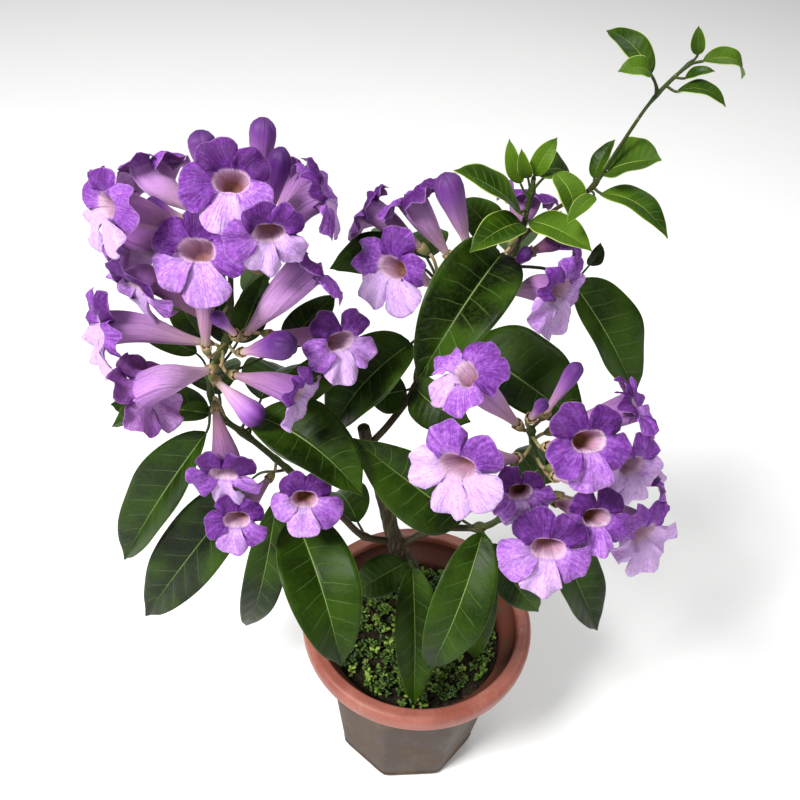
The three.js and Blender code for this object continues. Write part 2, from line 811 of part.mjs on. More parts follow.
const YOUNG_LEAVES = [
  {
    from: [41, 24, 592], foot: [37, 22, 587], tip: [-9, 1, 624],
    width: 30, face: [0.5, -0.1, 0.8], arch: 0.07,
  },
  {
    from: [39, 23, 578], foot: [38, 17, 583], tip: [5, -15, 579],
    width: 24, face: [0.1, -0.3, 0.95], arch: 0.15,
  },
  {
    from: [40, 23.5, 582], foot: [43, 17, 585], tip: [79, -10, 583],
    width: 25, face: [0, -0.3, 0.95], arch: 0.09,
  },
  {
    from: [42, 25, 602], foot: [54, 24, 615], tip: [67, 12, 590],
    width: 20, face: [0.4, -0.7, 0.5], arch: 0.28,
  },
  {
    from: [41, 24, 596], foot: [34, 27, 605], tip: [24, 33, 631],
    width: 11, face: [-0.2, -0.9, 0.1],
  },
  {
    from: [42, 25, 603], foot: [42, 27, 611], tip: [53, 35, 633],
    width: 13, face: [-0.3, -0.8, 0.4], arch: 0.2,
  },
  {
    from: [42, 25, 600], foot: [43, 30, 611], tip: [68, 42, 602],
    width: 27, face: [0.4, -0.1, 0.9], arch: 0.22,
  },
  {
    from: [41, 25, 601], foot: [38, 25, 610], tip: [31, 23, 630],
    width: 9, face: [-0.2, -0.9, 0.2],
  },
];
const LONG_LEAVES = [
  {
    from: [78, 19, 612], foot: [84, 20, 621], tip: [110, 5, 638],
    width: 35, face: [-0.5, -0.1, 0.8], arch: 0.08, fold: 0.33,
  },
  {
    from: [77, 20, 610], foot: [82, 14, 609], tip: [120, -16, 599],
    width: 21, face: [0.1, -0.3, 0.95], arch: 0.19,
  },
  {
    from: [78, 19, 614], foot: [78, 25, 613], tip: [88, 36, 634],
    width: 13, face: [-0.7, -0.5, 0.4], arch: 0.1,
  },
  {
    from: [75, 22, 606], foot: [77, 9, 610], tip: [60, -13, 602],
    width: 11, face: [-0.1, -0.3, 0.9], arch: 0.1,
  },
  {
    from: [100, 11, 674], foot: [95, 16, 683], tip: [70, 40, 696],
    width: 16, face: [-0.1, -0.5, 0.8], arch: 0.2,
  },
  {
    from: [99, 11, 672], foot: [93, 9, 686], tip: [74, 5, 687],
    width: 14, face: [0.1, -0.5, 0.9], arch: 0.22,
  },
  {
    from: [103, 10, 679], foot: [108, 4, 679], tip: [133, -7, 677],
    width: 12, face: [0, -0.3, 0.9], arch: 0.23,
  },
  {
    from: [112, 10, 691], foot: [118, 6, 696], tip: [144, 13, 685],
    width: 14, face: [0.5, -0.3, 0.8], arch: 0.28,
  },
  {
    from: [112, 10, 692], foot: [116, 11, 697], tip: [113, 14, 711],
    width: 8, face: [-0.3, -0.8, 0.3],
  },
  {
    from: [106, 10, 684], foot: [111, 6, 686], tip: [124, 0, 693],
    width: 7, face: [-0.1, -0.5, 0.8],
  },
];

// Flowers: "from" is on the stalk, "base" is the calyx rim, "mouth" the tube's end, "face" looks out of it
const LEFT_STEM_FLOWERS = {
  lower_left_bloom_1: {
    from: [-157, -6, 416], base: [-157, -28, 444], mouth: [-149, -54, 410], face: [-0.05, -0.97, -0.1],
    radius: 25, lean: [0, 0, 0.5],
  },
  lower_left_bloom_2: {
    from: [-120, -12, 382], base: [-124, -26, 376], mouth: [-141, -63, 372], face: [0.1, -0.85, 0.4],
    radius: 24, turn: 0.1,
  },
  lower_left_bloom_3: {
    from: [-106, -12, 368], base: [-102, -26, 372], mouth: [-93, -54, 389], face: [0.05, -0.8, 0.55],
    radius: 24,
  },
};
const LEFT_FLOWERS = {
  left_bloom_01: {
    from: [-148, 9, 556], base: [-170, 0, 570], mouth: [-208, -24, 598], face: [-0.7, -0.6, 0.3],
    radius: 28, turn: -0.14,
  },
  left_bloom_02: {
    from: [-147, 9, 560], base: [-168, 22, 570], mouth: [-200, 36, 590], face: [-0.5, 0.65, 0.6],
    radius: 25,
  },
  left_bloom_03: {
    from: [-147, 10, 562], base: [-144, 0, 584], mouth: [-134, -26, 621], face: [0.05, -0.75, 0.65],
    radius: 26, turn: 0.1,
  },
  left_bud_04: { from: [-148, 10, 562], base: [-158, 24, 582], mouth: [-164, 28, 624], radius: 8.5 },
  left_bud_05: { from: [-147, 10, 564], base: [-130, 28, 580], mouth: [-126, 40, 630], radius: 8 },
  left_bud_06: { from: [-147, 9, 556], base: [-124, 12, 568], mouth: [-111, 14, 624], radius: 7 },
  left_bloom_07: {
    from: [-147, 9, 552], base: [-122, 24, 552], mouth: [-103, 46, 586], face: [0.4, 0.75, 0.5],
    radius: 23,
  },
  left_bloom_08: {
    from: [-147, 8, 548], base: [-121, 4, 548], mouth: [-88, 8, 597], face: [0.9, 0.15, 0.35],
    radius: 25,
  },
  left_bloom_09: {
    from: [-147, 8, 552], base: [-134, -14, 558], mouth: [-110, -49, 604], face: [0.15, -0.95, 0.05],
    radius: 23, turn: 0.1,
  },
  left_bloom_10: {
    from: [-150, -4, 486], base: [-158, -30, 504], mouth: [-157, -30, 576], face: [-0.05, -0.85, 0.5],
    radius: 28, turn: -0.52, lean: [0, 0, 0.3],
  },
  left_bloom_11: {
    from: [-147, 7, 540], base: [-168, 12, 536], mouth: [-212, 28, 546], face: [-0.75, 0.5, -0.1],
    radius: 26,
  },
  left_bloom_12: {
    from: [-147, 2, 516], base: [-166, -4, 508], mouth: [-203, -12, 535], face: [-0.45, -0.75, -0.4],
    radius: 27,
  },
  left_bloom_14: {
    from: [-150, -4, 490], base: [-136, -10, 500], mouth: [-92, -22, 564], face: [0.65, 0.55, 0.5],
    radius: 27,
  },
  left_bloom_15: {
    from: [-155, -5, 480], base: [-166, -10, 490], mouth: [-223, -30, 512], face: [-0.85, -0.5, 0.1],
    radius: 28, turn: -0.35,
  },
  left_bloom_17: {
    from: [-154, -5, 482], base: [-160, -24, 478], mouth: [-193, -53, 484], face: [-0.75, 0, -0.6],
    radius: 29,
  },
  left_bud_18: { from: [-149, -3, 496], base: [-142, -18, 506], mouth: [-149, -36, 534], radius: 4.6 },
  left_bud_19: { from: [-151, -4, 487], base: [-138, -16, 489], mouth: [-100, -44, 522], radius: 9 },
  left_bloom_20: {
    from: [-156, -5, 478], base: [-144, -16, 468], mouth: [-98, -42, 479], face: [0.9, -0.45, -0.1],
    radius: 23,
  },
  left_bloom_21: {
    from: [-150, -3, 492], base: [-122, 4, 490], mouth: [-73, -12, 501], face: [0.5, -0.7, 0.45],
    radius: 25, turn: 0.07, notch: DEEP_NOTCH,
  },
  left_bud_22: { from: [-160, -5, 470], base: [-156, -20, 464], mouth: [-123, -40, 448], radius: 8.5 },
  left_bud_23: { from: [-148, 8, 548], base: [-175, 10, 573], mouth: [-196, 8, 585], radius: 4.4 },
};
const MIDDLE_FLOWERS = {
  middle_bloom_1: {
    from: [-10, 40, 514], base: [-15, 26, 526], mouth: [-41, 6, 550], face: [-0.55, -0.75, 0.4],
    radius: 27, turn: -0.17, notch: DEEP_NOTCH,
  },
  middle_bloom_2: {
    from: [-4, 41, 522], base: [-6, 40, 542], mouth: [-33, 46, 578], face: [-0.6, 0.4, 0.7],
    radius: 23,
  },
  middle_bud_3: { from: [2, 40, 528], base: [8, 38, 549], mouth: [-13, 34, 604], radius: 9 },
  middle_bloom_4: {
    from: [-10, 41, 516], base: [-24, 52, 538], mouth: [-60, 66, 556], face: [-0.85, 0.3, 0.3],
    radius: 22,
  },
  middle_bloom_5: {
    from: [16, 37, 536], base: [38, 50, 552], mouth: [46, 78, 566], face: [0.1, 0.6, 0.8],
    radius: 22,
  },
  middle_bloom_6: {
    from: [20, 36, 538], base: [38, 14, 533], mouth: [64, -8, 551], face: [0.7, -0.65, 0.1],
    radius: 27, notch: DEEP_NOTCH,
  },
  middle_bud_7: { from: [26, 34, 540], base: [36, 8, 556], mouth: [42, -3, 576], radius: 4.4 },
  middle_bloom_8: {
    from: [26, 34, 540], base: [48, 16, 564], mouth: [66, 18, 575], face: [0.8, 0.1, 0.6],
    radius: 16,
  },
};
const RIGHT_FLOWERS = {
  right_bloom_01: {
    from: [52, -72, 490], base: [42, -76, 498], mouth: [7, -82, 539], face: [-0.55, -0.2, 0.8],
    radius: 25, turn: 0.2, notch: DEEP_NOTCH,
  },
  right_bud_02: { from: [52, -72, 490], base: [60, -68, 502], mouth: [73, -70, 544], radius: 5 },
  right_bud_03: { from: [52, -72, 489], base: [50, -78, 506], mouth: [54, -86, 526], radius: 4 },
  right_bloom_04: {
    from: [55, -73, 480], base: [44, -86, 478], mouth: [5, -127, 509], face: [-0.35, -0.85, 0.4],
    radius: 28, notch: DEEP_NOTCH,
  },
  right_bloom_05: {
    from: [66, -72, 442], base: [58, -84, 448], mouth: [46, -108, 472], face: [0.2, -0.9, 0.4],
    radius: 20,
  },
  right_bloom_06: {
    from: [53, -73, 486], base: [62, -88, 492], mouth: [78, -112, 522], face: [0.15, -0.75, 0.6],
    radius: 25,
  },
  right_bloom_07: {
    from: [55, -73, 480], base: [70, -62, 482], mouth: [112, -66, 510], face: [0.75, 0, 0.6],
    radius: 23,
  },
  right_bloom_08: {
    from: [65, -73, 450], base: [80, -62, 448], mouth: [142, -54, 443], face: [0.9, 0, 0.3],
    radius: 23,
  },
  right_bloom_09: {
    from: [66, -72, 444], base: [76, -86, 440], mouth: [95, -112, 458], face: [0.1, -0.75, 0.6],
    radius: 22,
  },
  right_bloom_10: {
    from: [67, -71, 438], base: [82, -72, 430], mouth: [138, -84, 414], face: [0.5, -0.85, 0.2],
    radius: 26,
  },
  right_bloom_11: {
    from: [67, -70, 434], base: [62, -86, 430], mouth: [66, -130, 447], face: [-0.05, -0.9, 0.4],
    radius: 27,
  },
  right_bloom_12: {
    from: [59, -73, 468], base: [72, -82, 468], mouth: [116, -84, 477], face: [0.4, -0.85, 0.35],
    radius: 22,
  },
  right_bud_13: { from: [62, -73, 462], base: [70, -91, 469], mouth: [84, -118, 494], radius: 5 },
  right_bud_14: { from: [66, -71, 436], base: [56, -80, 430], mouth: [52, -98, 438], radius: 3.8 },
};

const COLOURS = {
  pot: { color: 0xa5694f, roughness: 0.6 },
  soil: { color: 0x2b241c, roughness: 1 },
  cover: { color: 0x5f8a35, roughness: 0.8 },
  trunk: { color: 0x5b5140, roughness: 0.9 },
  leaf: { color: 0x2f5a25, roughness: 0.5 },
  youngLeaf: { color: 0x6fa336, roughness: 0.5 },
  stalk: { color: 0x6b7238, roughness: 0.7 },
  petal: { color: 0xa06ad0, roughness: 0.6 },
  bud: { color: 0x6c3aa0, roughness: 0.6 },
};

const plant = new THREE.Group();

function addMesh(name, solid, look) {
  const mesh = solid.asOriginal().simplify(SLIVER).getMesh();
  const geometry = new THREE.BufferGeometry();
  const positions = new Float32Array(mesh.vertProperties);
  geometry.setAttribute("position", new THREE.BufferAttribute(positions, 3));
  geometry.setIndex(new THREE.BufferAttribute(new Uint32Array(mesh.triVerts), 1));
  geometry.computeVertexNormals();
  const material = new THREE.MeshStandardMaterial({ metalness: 0, ...COLOURS[look] });
  const piece = new THREE.Mesh(geometry, material);
  piece.name = name;
  plant.add(piece);
}

function joinAll(solids) {
  return wasm.Manifold.union(solids);
}

function leafSolids(leaves) {
  return leaves.map(leafSolid);
}

function calyxSolids(flowers) {
  return Object.values(flowers).map(calyxSolid);
}

function addFlowers(flowers) {
  for (const [name, flower] of Object.entries(flowers)) {
    const isBud = name.includes("bud");
    addMesh(name, isBud ? budSolid(flower) : corollaSolid(flower), isBud ? "bud" : "petal");
  }
}

// The parent stems, and the same grown by a gap to cut room for them out of what they carry
const trunkSpace = trunkSolid(GAP);
const leftStem = stemSolid(LEFT_STEM, 3.0, 2.0, STEM_SIDES, 10);
const leftSpace = stemSolid(LEFT_STEM, 3.0, 2.0, STEM_SIDES, 10, GAP);
const rightStem = stemSolid(RIGHT_STEM, 3.2, 2.2, STEM_SIDES, 10);
const rightSpace = stemSolid(RIGHT_STEM, 3.2, 2.2, STEM_SIDES, 10, GAP);
const middleStem = stemSolid(MIDDLE_STEM, 2.8, 1.9, STEM_SIDES, 10);
const middleSpace = stemSolid(MIDDLE_STEM, 2.8, 1.9, STEM_SIDES, 10, GAP);

addMesh("pot", potSolid(), "pot");
addMesh("soil", soilSolid(), "soil");
addMesh("ground_cover", coverSolid(), "cover");
addMesh("trunk", trunkSolid(), "trunk");

const leftParts = [leftStem, ...leafSolids(LEFT_LEAVES), ...calyxSolids(LEFT_STEM_FLOWERS)];
addMesh("left_branch", joinAll(leftParts).subtract(trunkSpace), "leaf");

const leftRachis = stemSolid(LEFT_RACHIS, 2.3, 1.6, STEM_SIDES, 8);
const leftSpray = joinAll([leftRachis, ...calyxSolids(LEFT_FLOWERS)]);
addMesh("left_spray", leftSpray.subtract(leftSpace), "stalk");

const rightParts = [rightStem, ...leafSolids(RIGHT_LEAVES)];
addMesh("right_branch", joinAll(rightParts).subtract(trunkSpace), "leaf");

const rightRachis = stemSolid(RIGHT_RACHIS, 2.1, 1.5, STEM_SIDES, 6);
const rightSpray = joinAll([rightRachis, ...calyxSolids(RIGHT_FLOWERS)]);
addMesh("right_spray", rightSpray.subtract(rightSpace), "stalk");

const lowTwig = stemSolid(LOW_TWIG, 2.4, 1.8, STEM_SIDES, 4);
const lowParts = [lowTwig, ...leafSolids(LOW_LEAVES)];
addMesh("low_leaves", joinAll(lowParts).subtract(trunkSpace), "leaf");

const middleParts = [middleStem, ...leafSolids(MIDDLE_LEAVES), ...calyxSolids(MIDDLE_FLOWERS)];
addMesh("middle_branch", joinAll(middleParts).subtract(trunkSpace), "leaf");

const youngStem = stemSolid(YOUNG_STEM, 1.6, 1.2, STALK_SIDES, 5);
const youngParts = [youngStem, ...leafSolids(YOUNG_LEAVES)];
addMesh("young_shoot", joinAll(youngParts).subtract(middleSpace), "youngLeaf");

const longStem = stemSolid(LONG_STEM, 1.5, 1, STALK_SIDES, 10);
const longParts = [longStem, ...leafSolids(LONG_LEAVES)];
addMesh("long_shoot", joinAll(longParts).subtract(middleSpace), "youngLeaf");

addFlowers(LEFT_STEM_FLOWERS);
addFlowers(LEFT_FLOWERS);
addFlowers(MIDDLE_FLOWERS);
addFlowers(RIGHT_FLOWERS);

export default plant;
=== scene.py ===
"""Looks of the potted garlic vine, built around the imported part.

The tables of stems, leaves and flowers repeat the part's own, in millimetres, and every piece is made
in that same frame and scaled to metres at the end. -Y is the front, and +Z is up.
"""

import math

import bmesh
import bpy
import numpy as np
from mathutils import Matrix, Vector, noise


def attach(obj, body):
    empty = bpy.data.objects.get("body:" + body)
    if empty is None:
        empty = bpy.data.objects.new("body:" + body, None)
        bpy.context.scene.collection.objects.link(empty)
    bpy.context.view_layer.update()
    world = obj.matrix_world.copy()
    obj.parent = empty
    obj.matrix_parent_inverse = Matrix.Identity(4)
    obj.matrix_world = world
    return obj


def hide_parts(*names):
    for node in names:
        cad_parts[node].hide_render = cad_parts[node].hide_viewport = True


MM = 0.001
TURN = 2 * math.pi
UP = np.array([0.0, 0.0, 1.0])

# The photograph's camera: distances in mm, angles in degrees, from the centre of the pot's rim
PHOTO_SIZE = 800
CAMERA_PIXELS = 900
CAMERA_DOWN = 42.0
CAMERA_ROLL = 4.2
CAMERA_DISTANCE = 845
RIM_PIXEL = (417.5, 615)

# Driving dimensions of the pot, as in the part
POT_HEIGHT = 180
RIM_RADIUS = 104.5
RIM_OPENING = 91.5
BODY_TOP_RADIUS = 88
BODY_BASE_RADIUS = 70
POT_SIDES = 8
POT_STEPS = 160
POT_CORNER_ANGLE = math.pi / 8 + 0.12
FLOOR_THICKNESS = 5
DRAIN_HOLES = 6
DRAIN_RADIUS = 5
DRAIN_CIRCLE = 38
INSIDE_LOW = 79
INSIDE_LOW_RADIUS = 70
INSIDE_HIGH = 150
INSIDE_HIGH_RADIUS = 78.6

# Driving dimensions of the soil and what lies or grows on it
SOIL_HEIGHT = 148
SOIL_FOOT = 12
SOIL_ROOM = 0.5
SOIL_SIDES = 120
SOIL_RINGS = 56
CRUMBS = 260
CRUMB_CIRCLE = 74
WEEDS = 620
WEED_CIRCLE = 73
WEED_LIMIT = 76
WEED_RADIUS = 0.4
TRUNK_ROOM = 13
LITTER = 70
LITTER_CIRCLE = 72

# Driving dimensions of a leaf
BLADE_ROWS = 40
BLADE_COLUMNS = 17
BLADE_THICKNESS = 0.55
USUAL_ARCH = 0.16
USUAL_FOLD = 0.25
PETIOLE_RADIUS = 1.15
VEIN_PAIRS = 9
VEIN_SLANT = 0.9
VEIN_STAGGER = 0.45
VEIN_RELIEF = 0.007
EDGE_WAVE = 0.055
EDGE_WAVES = 2.2
MIDRIB_HEIGHT = 0.9
STALK_SLOT = 1

# Driving dimensions of a flower
PEDICEL_RADIUS = 1.2
CALYX_LENGTH = 8
CALYX_RADIUS = 3.9
CALYX_OPENING = 3.1
CALYX_DEPTH = 5
CALYX_SIDES = 20
CALYX_OUTSIDE = [(-CALYX_LENGTH, 1.15), (-7.2, 1.7), (-6, 2.5), (-4, 3.2), (-2, 3.6), (0, CALYX_RADIUS)]
CALYX_INSIDE = [(0, CALYX_OPENING), (-2, 2.9), (-CALYX_DEPTH, 2.2)]
TOOTH_HEIGHT = 0.9
TOOTH_SHARES = {0: 1, -2: 0.3}
TUBE_FOOT_RADIUS = 2.3
TUBE_FOOT_DEPTH = 4.2
MOUTH_SHARE = 0.4
FLARE_SHARE = 0.1
MOUTH_FLATNESS = 0.4
THROAT_DEPTH = 15
PETAL_THICKNESS = 0.5
TUBE_ROWS = 16
LIMB_ROWS = 13
LOBES = 5
LOBE_COLUMNS = 14
USUAL_TURN = 0.31
USUAL_NOTCH = 0.64
DEEP_NOTCH = 0.54
LIMB_RISE = 7.0
LIMB_SAG = 2.5
LIMB_CREASE = 2.4
RUFFLE = 2.4
FINE_RUFFLE = 1.5
CRUMPLE = 1.1
# Painted shade and light: how far the upper lobes' colour darkens and the lower lobes' pales, for the light
# from above
UPPER_LOBES_PAINTED_SHADE = 0.45
LOWER_LOBES_PAINTED_LIGHT = 0.7
BUD_ROWS = 22
BUD_SIDES = 40
BUD_STATIONS = [0, 0.2, 0.35, 0.55, 0.68, 0.8, 0.9, 0.96, 1]
BUD_WIDTHS = [0.0, 0.38, 0.6, 0.8, 0.95, 1.0, 0.92, 0.66, 0.2]

# Driving dimensions of the stems
TRUNK_RADII = (9, 4.6)
JOINT_SWELL = 0.28
JOINT_REACH = 3.2
JOINT_LIMIT = 6

# Stems, as in the part: most points were picked in the photograph, and placed by calculation with
# the fitted camera at a chosen depth
TRUNK_PATH = [
    (2, 0, 112), (2, 0, 162), (-2, 0, 205), (-12, 0, 250), (-26, 0, 285), (-37, 0, 333), (-49, 0, 380),
    (-56, 0, 412),
]
LEFT_STEM = [
    (-27, 0, 283), (-51, -8, 296), (-71, -12, 325), (-108, -12, 370), (-144, -8, 405), (-158, -6, 416),
    (-166, -4, 434), (-163, -4, 466),
]
LEFT_RACHIS = [(-163, -4, 463), (-158, -5, 474), (-150, -4, 490), (-147, 4, 525), (-147, 10, 565)]
RIGHT_STEM = [
    (-22, 0, 276), (-6, -5, 300), (12, -10, 316), (39, -25, 338), (52, -44, 375), (64, -64, 420),
]
RIGHT_RACHIS = [(63, -62, 416), (67, -70, 434), (64, -73, 455), (55, -73, 480), (52, -72, 492)]
LOW_TWIG = [(-11, 0, 250), (-12, -8, 264), (-11, -13, 274)]
MIDDLE_STEM = [
    (-52, 0, 392), (-36, 8, 412), (-20, 22, 436), (-12, 36, 480), (-10, 40, 515), (4, 40, 530),
    (26, 34, 540), (38, 26, 548),
]
YOUNG_STEM = [(37, 26.6, 547.3), (39, 23, 566), (41, 24, 590), (42, 26, 610)]
LONG_STEM = [
    (31, 30.7, 543.3), (44, 38, 562), (60, 34, 585), (76, 20, 608), (87, 16, 639), (97, 12, 668),
    (106, 10, 684), (114, 10, 694),
]


def leaf(start, foot, tip, width, face, arch=USUAL_ARCH, fold=USUAL_FOLD, age=0.0):
    """start is on the stem, foot and tip end the blade, face is its upper side; age 1 is a fresh leaf."""
    return {
        "start": start, "foot": foot, "tip": tip, "width": width, "face": face, "arch": arch,
        "fold": fold, "age": age,
    }


def bloom(
    start, base, mouth, face, radius, age, turn=USUAL_TURN, notch=USUAL_NOTCH, lean=(0, 0, 0), funnel=0.5
):
    """start is on the stalk, base the calyx rim, mouth the tube's end.

    age is 0 for vivid lobes and 1 for faded ones; funnel is 0 for a dusky tube and 1 for a pale one.
    """
    return {
        "start": start, "base": base, "mouth": mouth, "face": face, "radius": radius, "age": age,
        "turn": turn, "notch": notch, "lean": lean, "funnel": funnel,
    }


def bud(start, base, tip, radius, age=0.3):
    """A closed flower, from the calyx rim to its blunt tip; age 0 is dark and 1 pale."""
    return {"start": start, "base": base, "mouth": tip, "radius": radius, "lean": (0, 0, 0), "age": age}


# Leaves, as in the part: most of those that the photograph shows were fitted by calculation to points
# picked on their outlines, and rounded
LEFT_LEAVES = [
    leaf((-165, -4, 430), (-173, -3, 398), (-258, -6, 238), 54, (-0.6, -0.8, 0.3), arch=0.03, fold=0.55),
    leaf((-112, -12, 374), (-143, 4, 343), (-250, -8, 158), 60, (-0.4, -0.9, 0.3), arch=0.04, fold=0.38),
    leaf((-100, -12, 361), (-124, 2, 322), (-158, -5, 150), 36, (0.2, -0.9, 0.1), arch=0.12),
    leaf((-92, -12, 350), (-104, -26, 332), (-60, -108, 262), 62, (0.2, -0.6, 0.8), arch=0.24, fold=0.45),
    leaf((-146, -8, 406), (-132, -14, 429), (-51, -60, 403), 57, (0.2, -0.2, 0.95), arch=0.14, fold=0.36),
    leaf((-166, -4, 436), (-171, 4, 410), (-248, 5, 388), 44, (-0.3, -0.1, 0.9), arch=0.15, fold=0.36),
    leaf((-165.5, -4, 440), (-176, 12, 406), (-258, 34, 384), 34, (-0.3, -0.4, 0.9), arch=0.08),
    leaf((-164, -5, 425), (-168, -8, 429), (-187, -12, 429), 8, (0.1, -0.5, 0.8)),
    leaf((-51, -8, 296), (-58, 10, 292), (-86, 74, 250), 42, (-0.2, 0.4, 0.9)),
    leaf((-140, -8, 402), (-134, 14, 420), (-120, 96, 372), 52, (0, 0.5, 0.85)),
    leaf((-160, -6, 420), (-166, 18, 418), (-196, 92, 360), 50, (-0.2, 0.5, 0.8)),
    leaf((-164, -3, 454), (-158, 22, 464), (-161, 48, 508), 24, (-0.3, -0.6, 0.7)),
    leaf((-164, -3, 456), (-149, 20, 468), (-131, 46, 512), 26, (0.3, -0.6, 0.7)),
    leaf((-158, 20, 462), (-146, 38, 500), (-132, 56, 532), 24, (0.2, 0.5, -0.8), arch=0.08),
    leaf((-163, -3, 452), (-114, 16, 474), (-80, 32, 508), 26, (0.3, -0.6, 0.7), arch=0.1),
    leaf((-165, -3, 454), (-170, 16, 468), (-198, 42, 502), 24, (-0.3, -0.6, 0.7)),
    leaf((-165, -3, 450), (-178, 14, 460), (-228, 32, 468), 20, (-0.2, -0.5, 0.8), arch=0.1),
    leaf((-144, -8, 405), (-116, 4, 426), (-60, 16, 474), 30, (0.1, -0.5, 0.8), arch=0.08),
]
RIGHT_LEAVES = [
    leaf((36, -23, 335), (24, -26, 346), (-62, -26, 426), 54, (0.3, -0.85, 0.4), arch=0.06, fold=0.35),
    leaf((39, -25, 338), (40, -34, 343), (8, -88, 236), 48, (0, -0.8, 0.5), arch=0.18, fold=0.34),
    leaf((40, -25, 340), (47, -26, 320), (94, -48, 266), 32, (0.1, -0.9, 0.4), arch=0.14),
    leaf((62, -60, 414), (88, -44, 365), (143, -55, 256), 46, (0.6, -0.7, 0.4), arch=0.02, fold=0.38),
    leaf((38, -24, 336), (44, -16, 320), (50, -48, 190), 32, (-0.1, -0.9, 0.3), arch=0.12),
    leaf((-2, -7, 303), (8, 10, 300), (44, 72, 250), 44, (0.2, 0.4, 0.9)),
    leaf((50, -40, 368), (62, -20, 380), (116, 46, 330), 50, (0.2, 0.4, 0.85)),
    leaf((62, -60, 412), (76, -40, 420), (150, 0, 372), 48, (0.3, 0.2, 0.9)),
]
LOW_LEAVES = [
    leaf((-11, -12, 272), (-10, -18, 274), (0, -83, 168), 42, (0.2, -0.8, 0.5), arch=0.07, fold=0.47),
    leaf((-12, -9, 266), (-16, -14, 273), (-55, -24, 242), 34, (-0.2, -0.6, 0.7)),
]
MIDDLE_LEAVES = [
    leaf((29, 32.5, 541.5), (28, 16, 560), (-21, -57, 508), 58, (0, -0.6, 0.8), arch=0.2, fold=0.58),
    leaf((-12, 36, 482), (-25, 36, 466), (-78, 6, 402), 58, (-0.3, -0.5, 0.8), arch=0.16, fold=0.5),
    leaf((-20, 22, 436), (-26, 26, 429), (-52, 26, 416), 34, (-0.3, -0.6, 0.7)),
    leaf((-16, 30, 460), (-20, 22, 437), (22, -5, 430), 38, (-0.4, -0.8, 0.4), arch=0.2),
    leaf((-10, 40, 500), (16, 33, 470), (98, -26, 452), 72, (0.1, -0.3, 0.95), arch=0.03, fold=0.38),
    leaf((24, 35, 539), (80, 30, 533), (142, 22, 442), 55, (0.6, -0.6, 0.5), arch=0.05, fold=0.45),
    leaf((-10, 42, 514), (-18, 66, 520), (-50, 142, 470), 56, (-0.1, 0.5, 0.85)),
    leaf((10, 40, 532), (22, 66, 534), (52, 138, 478), 54, (0.1, 0.5, 0.85)),
    leaf((-16, 28, 456), (-4, 52, 448), (22, 122, 392), 54, (0.1, 0.5, 0.85)),
    leaf((-10, 41, 516), (-28, 48, 528), (-86, 44, 520), 40, (-0.2, -0.3, 0.9)),
    leaf((16, 39, 535), (28, 60, 546), (1, 66, 570), 28, (-0.3, -0.5, 0.8), arch=0.1),
    leaf((78, 30, 533), (87, 21, 553), (91, 24, 569), 11, (0.2, -0.8, 0.4)),
]
YOUNG_LEAVES = [
    leaf((41, 24, 592), (37, 22, 587), (-9, 1, 624), 30, (0.5, -0.1, 0.8), arch=0.07, age=0.8),
    leaf((39, 23, 578), (38, 17, 583), (5, -15, 579), 24, (0.1, -0.3, 0.95), arch=0.15, age=0.8),
    leaf((40, 23.5, 582), (43, 17, 585), (79, -10, 583), 25, (0, -0.3, 0.95), arch=0.09, age=0.8),
    leaf((42, 25, 602), (54, 24, 615), (67, 12, 590), 20, (0.4, -0.7, 0.5), arch=0.28, age=0.8),
    leaf((41, 24, 596), (34, 27, 605), (24, 33, 631), 11, (-0.2, -0.9, 0.1), age=0.8),
    leaf((42, 25, 603), (42, 27, 611), (53, 35, 633), 13, (-0.3, -0.8, 0.4), arch=0.2, age=0.8),
    leaf((42, 25, 600), (43, 30, 611), (68, 42, 602), 27, (0.4, -0.1, 0.9), arch=0.22, age=0.3),
    leaf((41, 25, 601), (38, 25, 610), (31, 23, 630), 9, (-0.2, -0.9, 0.2), age=0.8),
]
LONG_LEAVES = [
    leaf((78, 19, 612), (84, 20, 621), (110, 5, 638), 35, (-0.5, -0.1, 0.8), arch=0.08, fold=0.33, age=0.4),
    leaf((77, 20, 610), (82, 14, 609), (120, -16, 599), 21, (0.1, -0.3, 0.95), arch=0.19, age=0.6),
    leaf((78, 19, 614), (78, 25, 613), (88, 36, 634), 13, (-0.7, -0.5, 0.4), arch=0.1, age=0.6),
    leaf((75, 22, 606), (77, 9, 610), (60, -13, 602), 11, (-0.1, -0.3, 0.9), arch=0.1, age=0.8),
    leaf((100, 11, 674), (95, 16, 683), (70, 40, 696), 16, (-0.1, -0.5, 0.8), arch=0.2, age=0.7),
    leaf((99, 11, 672), (93, 9, 686), (74, 5, 687), 14, (0.1, -0.5, 0.9), arch=0.22, age=0.7),
    leaf((103, 10, 679), (108, 4, 679), (133, -7, 677), 12, (0, -0.3, 0.9), arch=0.23, age=0.7),
    leaf((112, 10, 691), (118, 6, 696), (144, 13, 685), 14, (0.5, -0.3, 0.8), arch=0.28, age=0.7),
    leaf((112, 10, 692), (116, 11, 697), (113, 14, 711), 8, (-0.3, -0.8, 0.3), age=0.8),
    leaf((106, 10, 684), (111, 6, 686), (124, 0, 693), 7, (-0.1, -0.5, 0.8), age=0.8),
]
